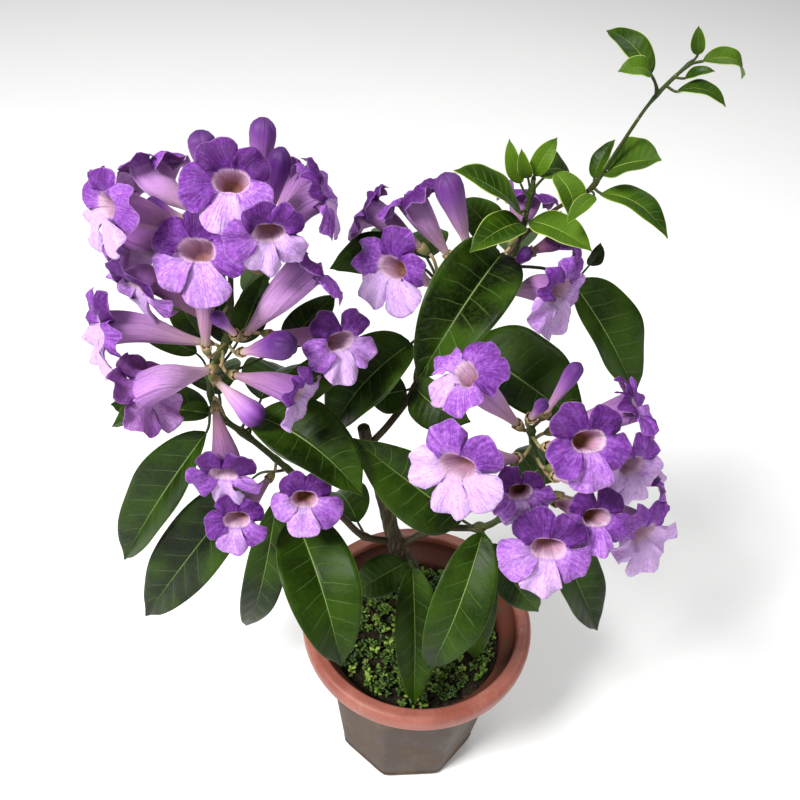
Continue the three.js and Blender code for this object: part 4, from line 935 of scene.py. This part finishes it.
def leaf_look():
    """Dark glossy blades, or fresh light green ones where age is high."""
    look = Look("leaf", Specular_IOR_Level=0.12)
    t, u, age, inner, seed = look.numbers("along", "across", "age", "inner", "seed")
    out = look.math("ABSOLUTE", u)
    right = look.math("GREATER_THAN", u, 0.0)
    beneath = look.minus(1.0, inner)
    patches = look.grain(24, 3)
    fine = look.grain(420, 2)
    own = look.math("FRACT", look.times(seed, 0.381))
    mottle = look.streaks((t, u, seed), (3, 1.5, 3.7), 2)
    veins = look.minus(look.times(t, VEIN_PAIRS), look.times(out, VEIN_SLANT))
    veins = look.plus(veins, look.times(right, VEIN_STAGGER), look.times(mottle, 0.3))
    veins = look.math("ABSOLUTE", look.minus(look.math("FRACT", veins), 0.5))
    vein = look.times(look.band(veins, 0.45, 0.5), look.band(out, 0.9, 0.4))
    midrib = look.band(out, look.band(t, 0.0, 1.0, 0.036, 0.014), 0.0)
    edge = look.band(out, look.band(age, 0.0, 1.0, 0.972, 0.91), 1.0)
    dark = look.mix(own, (8, 18, 1), (22, 42, 3))
    dark = look.tint(dark, (42, 66, 6), patches, 0.35, 0.65, 1.0)
    dark = look.tint(dark, (66, 88, 20), fine, 0.35, 0.75, 0.2)
    dark = look.mix(look.times(vein, 0.45), dark, (92, 122, 58))
    fresh = look.mix(look.sway(patches, 0.0, 1.0), (22, 48, 3), (78, 110, 16))
    fresh = look.mix(look.times(vein, 0.4), fresh, (150, 180, 84))
    shade = look.mix(age, dark, fresh)
    pale = look.mix(age, (142, 168, 94), (204, 222, 110))
    shade = look.mix(look.times(midrib, 0.75), shade, pale)
    shade = look.mix(look.times(edge, look.band(age, 0.0, 1.0, 0.3, 0.85)), shade, pale)
    under = look.mix(age, (98, 122, 76), (142, 168, 92))
    under = look.mix(look.times(vein, 0.4), under, (150, 168, 112))
    shade = look.mix(look.times(beneath, 0.85), shade, under)
    rough = look.plus(look.sway(patches, 0.36, 0.5), look.times(beneath, 0.2))
    relief = look.minus(look.times(fine, 0.25), look.plus(vein, midrib))
    return look.finish(shade, rough, relief, 0.0003)


def stalk_look(name, young, old):
    """Green stems that turn woody towards their foot."""
    look = Look(name, Specular_IOR_Level=0.2)
    t, age = look.numbers("along", "age")
    streaks = look.streaks(look.axes(), (900, 900, 160))
    spots = look.grain(520, 1)
    wood = look.mix(streaks, old, (66, 54, 36))
    green = look.mix(streaks, young, (54, 70, 26))
    share = look.math("MAXIMUM", look.band(t, 0.15, 0.75), age)
    shade = look.tint(look.mix(share, wood, green), (128, 118, 86), spots, 0.66, 0.72, 0.4)
    return look.finish(shade, look.sway(streaks, 0.45, 0.65), streaks, 0.0004)


def bark_look():
    """Grey-brown bark with lengthwise cracks."""
    look = Look("bark", Specular_IOR_Level=0.25)
    cracks = look.streaks(look.axes(), (420, 420, 70), 5, 0.65)
    patches = look.grain(60, 3)
    shade = look.ramp(cracks, (0.32, (26, 20, 12)), (0.5, (58, 48, 32)), (0.72, (100, 88, 64)))
    shade = look.tint(shade, (54, 60, 32), patches, 0.45, 0.7, 0.5)
    return look.finish(shade, look.sway(cracks, 0.9, 0.7), cracks, 0.0012)


def petal_look():
    """Pinkish funnel, pale throat, and lobes from deep violet to faded lilac as age goes up, with painted
    shade on the upper lobes and painted light on the lower ones.
    """
    look = Look("petal", Specular_IOR_Level=0.2, Subsurface_Weight=0.1, Subsurface_Scale=0.002)
    look.shader.inputs["Subsurface Radius"].default_value = (1.0, 0.5, 0.8)
    t, u, age, inner, seed = look.numbers("along", "across", "age", "inner", "seed")
    funnel = look.number("funnel")
    drift = look.plus(u, look.times(look.grain(140, 3), 0.2))
    lines = look.streaks((drift, t, seed), (6, 3.2, 2.3), 3, 0.6)
    streaks = look.streaks((drift, t, seed), (13, 2.4, 4.1), 2, 0.6)
    crinkle = look.grain(420, 3, roughness=0.7)
    blotch = look.grain(50, 2)
    limb = look.band(look.plus(t, look.sway(streaks, -0.008, 0.008)), 0.5, 0.54)
    # On the lobes the age number also carries painted shade on the upper ones and painted light on the lower
    # ones
    local = look.plus(
        age, look.sway(blotch, -0.08, 0.08), look.sway(crinkle, -0.12, 0.12),
        look.sway(streaks, -0.1, 0.12), look.band(t, 0.52, 0.7, 0.14, 0.0),
    )
    lobes = look.ramp(
        local, (0.0, (72, 22, 92)), (0.25, (108, 48, 142)), (0.5, (150, 88, 182)),
        (0.75, (184, 134, 208)), (1.0, (206, 172, 222)),
    )
    # Painted highlight: the lobes' outermost edge is paled to a light lilac rim, for light catching the edges
    lobes = look.tint(lobes, (214, 176, 230), t, 0.97, 1.0, 0.2)
    back = look.mix(look.sway(blotch, 0.35, 0.6), lobes, (136, 88, 140))
    dusky = look.ramp(
        t, (0.0, (200, 180, 140)), (0.05, (170, 116, 140)), (0.2, (142, 88, 134)),
        (0.38, (126, 72, 130)), (0.5, (112, 58, 130)),
    )
    pale = look.ramp(
        t, (0.0, (216, 200, 168)), (0.06, (216, 176, 196)), (0.3, (210, 162, 214)), (0.5, (188, 132, 206))
    )
    tube = look.mix(funnel, dusky, pale)
    tube = look.tint(tube, look.mix(funnel, (92, 44, 98), (150, 92, 160)), streaks, 0.35, 0.7, 0.3)
    # Painted shade: the throat darkens to brown towards its deepest part, for the shade inside the tube
    throat = look.ramp(
        t, (0.3, (128, 88, 44)), (0.36, (160, 110, 100)), (0.42, (190, 144, 168)), (0.49, (224, 190, 214))
    )
    shade = look.mix(inner, look.mix(limb, tube, back), look.mix(limb, throat, lobes))
    vein = look.band(look.math("ABSOLUTE", look.minus(lines, 0.5)), 0.03, 0.004)
    deep = look.mix(age, (66, 20, 92), (138, 84, 170))
    shade = look.mix(look.times(vein, look.band(t, 0.1, 0.55, 0.25, 0.45)), shade, deep)
    relief = look.plus(streaks, look.times(crinkle, 0.7))
    return look.finish(shade, look.sway(blotch, 0.5, 0.62), relief, 0.0008)


def bud_look():
    """Cream-pink foot rising to a dark violet tip, or mostly pale where age is high."""
    look = Look("bud", Specular_IOR_Level=0.3, Subsurface_Weight=0.1, Subsurface_Scale=0.002)
    t, u, age, seed = look.numbers("along", "across", "age", "seed")
    drift = look.plus(u, look.times(look.grain(110, 2), 0.15))
    lines = look.streaks((drift, t, seed), (7, 1.4, 1))
    shade = look.ramp(
        t, (0.0, (206, 192, 140)), (0.1, (204, 162, 176)), (0.38, (168, 112, 172)),
        (0.6, (126, 64, 154)), (0.8, (84, 32, 112)), (1.0, (60, 20, 84)),
    )
    pale = look.ramp(
        t, (0.0, (214, 204, 150)), (0.12, (222, 190, 200)), (0.55, (206, 156, 212)),
        (0.8, (156, 92, 186)), (1.0, (74, 28, 108)),
    )
    dark = look.mix(age, (84, 38, 116), (168, 104, 160))
    shade = look.tint(look.mix(age, shade, pale), dark, lines, 0.5, 0.68, 0.5)
    return look.finish(shade, look.sway(lines, 0.42, 0.6), lines, 0.0005)


def calyx_look():
    """Tan-pink cups on green-brown pedicels."""
    look = Look("calyx", Specular_IOR_Level=0.35)
    mottle = look.grain(260, 3)
    t = look.number("along")
    shade = look.ramp(t, (0.0, (74, 90, 38)), (0.5, (112, 112, 60)), (1.0, (168, 140, 104)))
    shade = look.tint(shade, (110, 84, 60), mottle, 0.45, 0.75, 0.4)
    return look.finish(shade, look.sway(mottle, 0.42, 0.6), mottle, 0.0003)


def pot_look(name, fresh, worn, dust, dusty, rough):
    """Coloured plastic that has weathered, with dust that runs down it."""
    look = Look(name, Specular_IOR_Level=0.4)
    wide = look.grain(26, 4)
    runs = look.streaks(look.axes(), (52, 52, 26), 4, 0.7)
    fine = look.grain(700, 3)
    shade = look.mix(look.band(wide, 0.35, 0.65), fresh, worn)
    shade = look.tint(shade, dust, runs, 0.45, 0.72, dusty)
    shade = look.tint(shade, dust, fine, 0.55, 0.75, 0.3)
    scratches = look.streaks(look.axes(), (90, 90, 1500), 2, 0.7)
    relief = look.plus(look.times(scratches, 0.35), look.times(fine, 0.4))
    return look.finish(shade, look.sway(wide, rough, rough + 0.15), relief, 0.00035)


def soil_look():
    """Dark damp potting mix with pale crumbs."""
    look = Look("soil", Specular_IOR_Level=0.2)
    crumbs = look.grain(420, 4, roughness=0.6)
    wide = look.grain(55, 3)
    shade = look.ramp(crumbs, (0.3, (10, 8, 4)), (0.55, (34, 26, 16)), (0.75, (80, 64, 44)))
    shade = look.tint(shade, (38, 36, 22), wide, 0.4, 0.7, 0.5)
    return look.finish(shade, look.sway(crumbs, 0.95, 0.8), crumbs, 0.0015)


def weed_look():
    """Small fresh weeds, from mid green to yellow green."""
    look = Look("weed", Specular_IOR_Level=0.35)
    age, u = look.numbers("age", "across")
    mottle = look.grain(300, 2)
    shade = look.ramp(
        age, (0.0, (16, 34, 6)), (0.4, (42, 70, 14)), (0.7, (86, 116, 34)), (1.0, (148, 172, 74))
    )
    shade = look.tint(shade, (104, 130, 52), mottle, 0.4, 0.7, 0.25)
    shade = look.tint(shade, (140, 164, 84), u, 0.12, 0.0, 0.3)
    return look.finish(shade, look.sway(mottle, 0.45, 0.6), mottle, 0.0003)


def litter_look():
    """Bits of dead leaf, from dark brown to straw."""
    look = Look("litter", Specular_IOR_Level=0.2)
    mottle = look.grain(380, 3)
    shade = look.ramp(look.number("age"), (0.0, (72, 50, 32)), (0.6, (134, 104, 68)), (1.0, (176, 150, 104)))
    shade = look.tint(shade, (86, 66, 44), mottle, 0.45, 0.7, 0.5)
    return look.finish(shade, look.sway(mottle, 0.8, 0.65), mottle, 0.0004)


# Pot, soil and weeds


def pot_ring(radius, height, squareness=0):
    """A ring that is round at 0 and eight-sided at 1, with slightly eased corners."""
    panel = TURN / POT_SIDES
    angles = all_round(POT_STEPS)
    within = angles % panel - panel / 2
    flat = radius * math.cos(panel / 2) / np.cos(within)
    corner = np.exp(-(((np.abs(within) - panel / 2) / 0.045) ** 2))
    reach = radius + (flat - 0.012 * radius * corner - radius) * squareness
    turned = angles + POT_CORNER_ANGLE
    return np.stack([reach * np.cos(turned), reach * np.sin(turned), np.full(POT_STEPS, height)], axis=1)


# The pot's wall from its underside up, over the rim and down inside: radius and height, and on the
# outside the squareness
POT_OUTSIDE = [
    (BODY_BASE_RADIUS - 2.2, 0, 1), (BODY_BASE_RADIUS - 1, 0.4, 1), (BODY_BASE_RADIUS, 2, 1),
    (BODY_BASE_RADIUS + 0.5, 6, 1), (BODY_BASE_RADIUS - 0.1, 7.2, 1), (BODY_BASE_RADIUS + 0.3, 9, 1),
    (73.6, 36, 1), (78.8, 80, 1), (83.6, 120, 1), (87.2, 150, 1), (BODY_TOP_RADIUS, 154, 0.9),
    (BODY_TOP_RADIUS, 157.5, 0.4), (88.4, 160, 0.1),
]
POT_RIM = [
    (89, 161.2), (93, 161.6), (99.2, 161.6), (101.8, 162.2), (103.3, 163.8), (103.9, 166.4), (104.3, 170),
    (RIM_RADIUS, 173.2), (104.3, 175.6), (103.4, 177.8), (101.8, 179.3), (99.8, POT_HEIGHT), (97.4, 179.9),
    (95.4, 179.5), (93.8, 179.6), (92.4, 179.2), (RIM_OPENING, 178), (91, 174),
]
POT_INSIDE = [
    (89.6, 168.2), (88.6, 166.6), (82, 157.5), (79.4, 155), (INSIDE_HIGH_RADIUS, INSIDE_HIGH),
    (INSIDE_LOW_RADIUS, INSIDE_LOW), (BODY_BASE_RADIUS - 8.6, 9), (BODY_BASE_RADIUS - 10, 5.6),
    (BODY_BASE_RADIUS - 13, FLOOR_THICKNESS),
]


def drill_holes(pot):
    """Cuts the drainage holes through the pot's floor."""
    drills = Growth()
    for k in range(DRAIN_HOLES):
        spot = polar(DRAIN_CIRCLE, TURN * k / DRAIN_HOLES)
        grow_tube(drills, [(*spot, -4), (*spot, FLOOR_THICKNESS + 4)], DRAIN_RADIUS, 24)
    cutter = link_object("drills", drills.mesh("drills"))
    cut = pot.modifiers.new("holes", "BOOLEAN")
    cut.object = cutter
    cut.operation = "DIFFERENCE"
    cut.solver = "EXACT"
    bpy.context.view_layer.update()
    whole = bpy.data.meshes.new_from_object(pot.evaluated_get(bpy.context.evaluated_depsgraph_get()))
    pot.modifiers.clear()
    pot.data = whole
    bpy.data.objects.remove(cutter)


def make_pot(body, rim, inside):
    """The weathered pot: body, rolled rim and inside wall have their own materials; the body's and the inside
    wall's are darker than the rim's as painted shade.
    """
    growth = Growth()
    last = None
    for slot, stations in enumerate((POT_OUTSIDE, POT_RIM, POT_INSIDE)):
        rows = [growth.add(pot_ring(*station)) for station in stations]
        if last is None:
            growth.cap(rows[0], (0, 0, 0), slot)
        else:
            rows = [last] + rows
        growth.skin(rows, slot, closed=True)
        last = rows[-1]
    growth.cap(last, (0, 0, FLOOR_THICKNESS), slot)
    drill_holes(growth.build("pot_shell", [body, rim, inside], "pot", "pot"))


def soil_height(x, y):
    """The soil's surface: a low crown, soft mounds and small lumps."""
    radius = math.hypot(x, y)
    crown = 1.5 * (1 - min(radius / 60, 1) ** 2)
    mounds = 2.2 * ripple(x / 26, y / 26, 0, 1)
    lumps = 0.9 * ripple(x / 6, y / 6, 0, 2) + 0.4 * ripple(x / 2.6, y / 2.6, 0, 4)
    rim = float(smooth(radius, 66, 78))
    return SOIL_HEIGHT + crown + (mounds + lumps) * (1 - 0.7 * rim) - 2.5 * rim


def soil_radius(height):
    """The inside wall's radius at a height, less a hair of room."""
    widening = (INSIDE_HIGH_RADIUS - INSIDE_LOW_RADIUS) * (height - INSIDE_LOW) / (INSIDE_HIGH - INSIDE_LOW)
    return INSIDE_LOW_RADIUS + widening - SOIL_ROOM


def random_spot(random, radius):
    """A place anywhere on a disc round the pot's axis."""
    distance = radius * math.sqrt(random.random())
    return polar(distance, TURN * random.random())


def make_soil(material):
    """The filled pot's soil as one solid, with loose crumbs sunk into its top."""
    growth = Growth()
    angles = all_round(SOIL_SIDES)
    rows = []
    for radius in np.linspace(0.03, 1, SOIL_RINGS) ** 0.8 * soil_radius(SOIL_HEIGHT - 3):
        ring = [polar(radius, angle) for angle in angles]
        rows.append(growth.add([(x, y, soil_height(x, y)) for x, y in ring]))
    for height in (SOIL_HEIGHT - 12, INSIDE_LOW, SOIL_FOOT):
        rows.append(growth.add([(*polar(soil_radius(height), angle), height) for angle in angles]))
    growth.skin(rows, closed=True)
    growth.cap(rows[0], (0, 0, soil_height(0, 0)))
    growth.cap(rows[-1], (0, 0, SOIL_FOOT))
    random = np.random.default_rng(7)
    for k in range(CRUMBS):
        x, y = random_spot(random, CRUMB_CIRCLE)
        size = 0.7 + 2.2 * random.random() ** 2
        grow_lump(growth, (x, y, soil_height(x, y) + 0.2 * size), size, k)
    growth.build("soil_bed", [material], "soil", "soil")


def grow_lump(growth, centre, size, seed):
    """A rough little ball."""
    centre = vec(centre)
    rows = []
    for height in (-0.8, -0.3, 0.3, 0.8):
        ring = []
        for angle in all_round(8):
            spot = vec((*polar(math.sqrt(1 - height**2), angle), 0.8 * height))
            ring.append(centre + spot * size * (1 + 0.35 * ripple(*(spot * 1.4), seed)))
        rows.append(growth.add(ring))
    growth.skin(rows, closed=True)
    growth.cap(rows[0], centre - UP * 0.75 * size)
    growth.cap(rows[-1], centre + UP * 0.75 * size)


# A leaflet's half width at shares of its length
LEAFLET_STATIONS = ((0.0, 0.1), (0.25, 0.72), (0.55, 1.0), (0.82, 0.8), (0.97, 0.3))


def grow_leaflet(growth, foot, along, length, width, age):
    """A small rounded leaf, thin, closed and a little cupped."""
    side = unit(np.cross(along, UP) + 1e-6)
    normal = np.cross(side, along)
    left, right, upper, lower = [], [], [], []
    for share, half in LEAFLET_STATIONS:
        spine = foot + along * length * share - UP * 0.12 * length * share**2
        reach = side * half * width / 2
        left.append(spine - reach + normal * 0.12 * half * width)
        right.append(spine + reach + normal * 0.12 * half * width)
        upper.append(spine)
        lower.append(spine - normal * 0.35)
    sides = ((left, 1), (upper, 0), (right, 1), (lower, 0))
    grid = np.stack([growth.add(line, across=edge, age=age) for line, edge in sides], axis=1)
    growth.skin(grid, closed=True)
    growth.face(grid[0])
    growth.face(grid[-1])


def grow_weed(growth, random, foot, thick):
    """A small upright stem with two or three rounds of leaflets."""
    height = 3.5 + 8.5 * random.random() * (1 + 0.5 * thick)
    lean = vec((random.normal(), random.normal(), 0)) * 0.35 * height
    top = foot + UP * height + lean
    if math.hypot(top[0], top[1]) > WEED_LIMIT:
        top = foot + UP * height
    age = float(np.clip(0.42 + 0.28 * random.normal(), 0, 1))
    stem, _ = bezier((foot, foot + UP * 0.6 * height, top), np.linspace(0, 1, 5))
    grow_tube(growth, stem, WEED_RADIUS, 5, age=age)
    turned = TURN * random.random()
    for level in (0.45, 0.75, 1.0) if height > 7 else (0.6, 1.0):
        crown = level == 1.0
        leaflets = 3 if crown else 2
        turned += 1.6
        for j in range(leaflets):
            heading = turned + TURN * j / leaflets + 0.3 * random.normal()
            rise = 0.25 + 0.35 * random.random() if crown else 0.1 + 0.3 * random.random()
            length = (2.6 + 3.6 * random.random() ** 1.5) * (1.0 if crown else 0.85)
            along = unit((*polar(1, heading), rise))
            grow_leaflet(growth, foot + (top - foot) * level, along, length, 0.72 * length, age)


def make_weeds(material):
    """Low weeds in patches over the soil, clear of the trunk."""
    growth = Growth()
    random = np.random.default_rng(41)
    for _ in range(WEEDS):
        x, y = random_spot(random, WEED_CIRCLE)
        thick = ripple(x / 20, y / 20, 0, 9)
        if thick >= -0.34 and math.hypot(x - 2, y) >= TRUNK_ROOM:
            grow_weed(growth, random, vec((x, y, soil_height(x, y) - 0.6)), thick)
    growth.build("weeds", [material], "ground_cover", "ground_cover")
    return random


def make_litter(material, random):
    """Bits of dead leaf among the weeds, drawn after them from the same random numbers."""
    growth = Growth()
    for _ in range(LITTER):
        x, y = random_spot(random, LITTER_CIRCLE)
        heading = TURN * random.random()
        along = unit((*polar(1, heading), 0.3 * random.normal()))
        length = 4 + 8 * random.random() ** 2
        spot = vec((x, y, soil_height(x, y) + 0.9))
        grow_leaflet(growth, spot, along, length, 0.35 * length, random.random())
    growth.build("litter", [material], "ground_cover", "ground_cover")


# Plant


def joints_of(*tables):
    """Where the leaves and flowers of the tables leave their stem."""
    rows = [row for table in tables for row in (table.values() if isinstance(table, dict) else table)]
    return [row["start"] for row in rows]


def make_leaves(name, node, slot_name, materials, leaves, first_seed):
    """A stem's leaves as one piece, with their blades and stalks."""
    growth = Growth()
    for seed, data in enumerate(leaves, first_seed):
        grow_leaf(growth, data, seed)
    growth.build(name, materials, slot_name, node)


def make_stem(name, node, slot_name, material, path, radii, *borne, age=0.0):
    """A stem with its radius at both ends, which swells where the tables' leaves and flowers leave it."""
    growth = Growth()
    grow_stem(growth, path, *radii, joints_of(*borne), age=age)
    growth.build(name, [material], slot_name, node)


def make_calyces(name, node, material, flowers):
    """The pedicels and calyces of a table's flowers, as one piece."""
    growth = Growth()
    for seed, flower in enumerate(flowers.values()):
        grow_calyx(growth, flower, seed)
    growth.build(name, [material], "flower_stalk", node)


def make_flowers(flowers, petal, closed, first_seed):
    """A piece for each open flower and each bud of a table."""
    for seed, (name, flower) in enumerate(flowers.items(), first_seed):
        growth = Growth()
        if "bud" in name:
            grow_bud(growth, flower, seed)
            growth.build(name + "_closed", [closed], "bud", name)
        else:
            grow_corolla(growth, flower, seed)
            growth.build(name + "_open", [petal], "petal", name)


def make_trunk(material):
    """The woody trunk, which swells where the branches leave it."""
    growth = Growth()
    forks = [path[0] for path in (LEFT_STEM, RIGHT_STEM, LOW_TWIG, MIDDLE_STEM)]
    grow_stem(growth, TRUNK_PATH, *TRUNK_RADII, forks, sides=28, relief=0.12)
    growth.build("trunk_bark", [material], "trunk", "trunk")


def build_plant():
    """Every stem with its leaves and calyces, and then the flowers."""
    green = stalk_look("green_stalk", (36, 52, 14), (42, 40, 20))
    woody = stalk_look("woody_stem", (44, 54, 22), (52, 42, 28))
    blades = [leaf_look(), green]
    calyx = calyx_look()
    petal = petal_look()
    closed = bud_look()
    make_trunk(bark_look())
    make_stem(
        "left_stem", "left_branch", "trunk", woody, LEFT_STEM, (3.0, 2.0), LEFT_LEAVES, LEFT_STEM_FLOWERS
    )
    make_leaves("left_leaves", "left_branch", "leaf", blades, LEFT_LEAVES, 10)
    make_calyces("left_stem_calyces", "left_branch", calyx, LEFT_STEM_FLOWERS)
    make_stem(
        "left_stalk", "left_spray", "flower_stalk", green, LEFT_RACHIS, (2.3, 1.6), LEFT_FLOWERS, age=0.6
    )
    make_calyces("left_calyces", "left_spray", calyx, LEFT_FLOWERS)
    make_stem("right_stem", "right_branch", "trunk", woody, RIGHT_STEM, (3.2, 2.2), RIGHT_LEAVES)
    make_leaves("right_leaves", "right_branch", "leaf", blades, RIGHT_LEAVES, 30)
    make_stem(
        "right_stalk", "right_spray", "flower_stalk", green, RIGHT_RACHIS, (2.1, 1.5), RIGHT_FLOWERS, age=0.6
    )
    make_calyces("right_calyces", "right_spray", calyx, RIGHT_FLOWERS)
    make_stem("low_twig", "low_leaves", "trunk", woody, LOW_TWIG, (2.4, 1.8), LOW_LEAVES)
    make_leaves("low_blades", "low_leaves", "leaf", blades, LOW_LEAVES, 40)
    make_stem(
        "middle_stem", "middle_branch", "trunk", woody, MIDDLE_STEM, (2.8, 1.9), MIDDLE_LEAVES, MIDDLE_FLOWERS
    )
    make_leaves("middle_leaves", "middle_branch", "leaf", blades, MIDDLE_LEAVES, 50)
    make_calyces("middle_calyces", "middle_branch", calyx, MIDDLE_FLOWERS)
    make_stem("young_stem", "young_shoot", "young_leaf", green, YOUNG_STEM, (1.6, 1.2), YOUNG_LEAVES, age=0.8)
    make_leaves("young_leaves", "young_shoot", "young_leaf", blades, YOUNG_LEAVES, 70)
    make_stem("long_stem", "long_shoot", "young_leaf", woody, LONG_STEM, (1.5, 0.9), LONG_LEAVES)
    make_leaves("long_leaves", "long_shoot", "young_leaf", blades, LONG_LEAVES, 80)
    make_flowers(LEFT_STEM_FLOWERS, petal, closed, 100)
    make_flowers(LEFT_FLOWERS, petal, closed, 110)
    make_flowers(MIDDLE_FLOWERS, petal, closed, 140)
    make_flowers(RIGHT_FLOWERS, petal, closed, 150)


def build_pot():
    """The pot with its soil, weeds and litter."""
    # Painted shade: the body and the inside wall get darker colours than the rim's same plastic, for the
    # shade below the rim and inside the pot; their dust is real
    body = pot_look("pot_body_painted_shade", (56, 38, 24), (74, 54, 36), (104, 88, 66), 0.4, 0.5)
    rim = pot_look("pot_rim", (138, 74, 60), (160, 94, 80), (182, 134, 118), 0.3, 0.42)
    inside = pot_look("pot_inside_painted_shade", (96, 46, 34), (74, 40, 28), (84, 66, 48), 0.4, 0.5)
    make_pot(body, rim, inside)
    make_soil(soil_look())
    random = make_weeds(weed_look())
    make_litter(litter_look(), random)


# Floor, light and camera


def add_floor():
    """A plain pale floor just below the pot's underside."""
    half = 6.0
    mesh = bpy.data.meshes.new("floor")
    corners = [(-half, -half, 0), (half, -half, 0), (half, half, 0), (-half, half, 0)]
    mesh.from_pydata(corners, [], [(0, 1, 2, 3)])
    look = Look("floor", Specular_IOR_Level=0.2)
    cloud = look.grain(3, 2)
    mesh.materials.append(look.finish(look.mix(cloud, (243, 243, 243), (247, 247, 246)), 0.8))
    floor = link_object("floor", mesh)
    floor.location.z = -0.0005


def add_light(name, place, target, size, power):
    """A square soft light aimed at a point, in metres and watts."""
    data = bpy.data.lights.new(name, "AREA")
    data.shape = "SQUARE"
    data.size = size
    data.energy = power
    lamp = link_object(name, data)
    lamp.location = place
    lamp.rotation_euler = (Vector(target) - Vector(place)).to_track_quat("-Z", "Y").to_euler()


def add_lights():
    """A key light from the left, with a weak fill and top light under an even sky."""
    middle = (0.0, 0.0, 0.35)
    add_light("key", (-1.4, -1.2, 2.6), middle, 0.8, 124)
    add_light("fill", (1.2, -2.4, 1.8), middle, 1.8, 18)
    add_light("top", (0.5, 0.9, 2.6), middle, 1.6, 30)
    world = bpy.data.worlds.new("studio")
    world.use_nodes = True
    sky = world.node_tree.nodes["Background"]
    sky.inputs[0].default_value = (1.0, 1.0, 1.0, 1.0)
    sky.inputs[1].default_value = 0.24
    bpy.context.scene.world = world


def add_camera():
    """Stands where the photograph was taken from, found from the pot's rim."""
    down = math.radians(CAMERA_DOWN)
    roll = math.radians(CAMERA_ROLL)
    ahead = Vector((0, math.cos(down), -math.sin(down)))
    right = Vector((1, 0, 0))
    up = right.cross(ahead)
    right, up = (
        right * math.cos(roll) + up * math.sin(roll),
        up * math.cos(roll) - right * math.sin(roll),
    )
    centre = PHOTO_SIZE / 2
    ray = ahead * CAMERA_PIXELS + right * (RIM_PIXEL[0] - centre) - up * (RIM_PIXEL[1] - centre)
    place = Vector((0, 0, POT_HEIGHT)) - ray.normalized() * CAMERA_DISTANCE
    data = bpy.data.cameras.new("camera")
    data.sensor_width = 36
    data.lens = data.sensor_width * CAMERA_PIXELS / PHOTO_SIZE
    data.clip_start = 0.02
    camera = link_object("camera", data)
    turn = Matrix((right, up, -ahead)).transposed().to_4x4()
    camera.matrix_world = Matrix.Translation(place * MM) @ turn
    bpy.context.scene.camera = camera


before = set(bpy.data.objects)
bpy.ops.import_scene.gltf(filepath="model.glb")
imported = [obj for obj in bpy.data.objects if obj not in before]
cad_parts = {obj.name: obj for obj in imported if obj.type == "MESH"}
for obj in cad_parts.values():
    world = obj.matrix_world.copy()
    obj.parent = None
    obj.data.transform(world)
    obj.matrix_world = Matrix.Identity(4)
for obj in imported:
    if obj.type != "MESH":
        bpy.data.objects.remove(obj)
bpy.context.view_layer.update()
build_pot()
build_plant()
add_floor()
add_lights()
add_camera()
bpy.context.scene.view_settings.view_transform = "Standard"
bpy.context.view_layer.update()
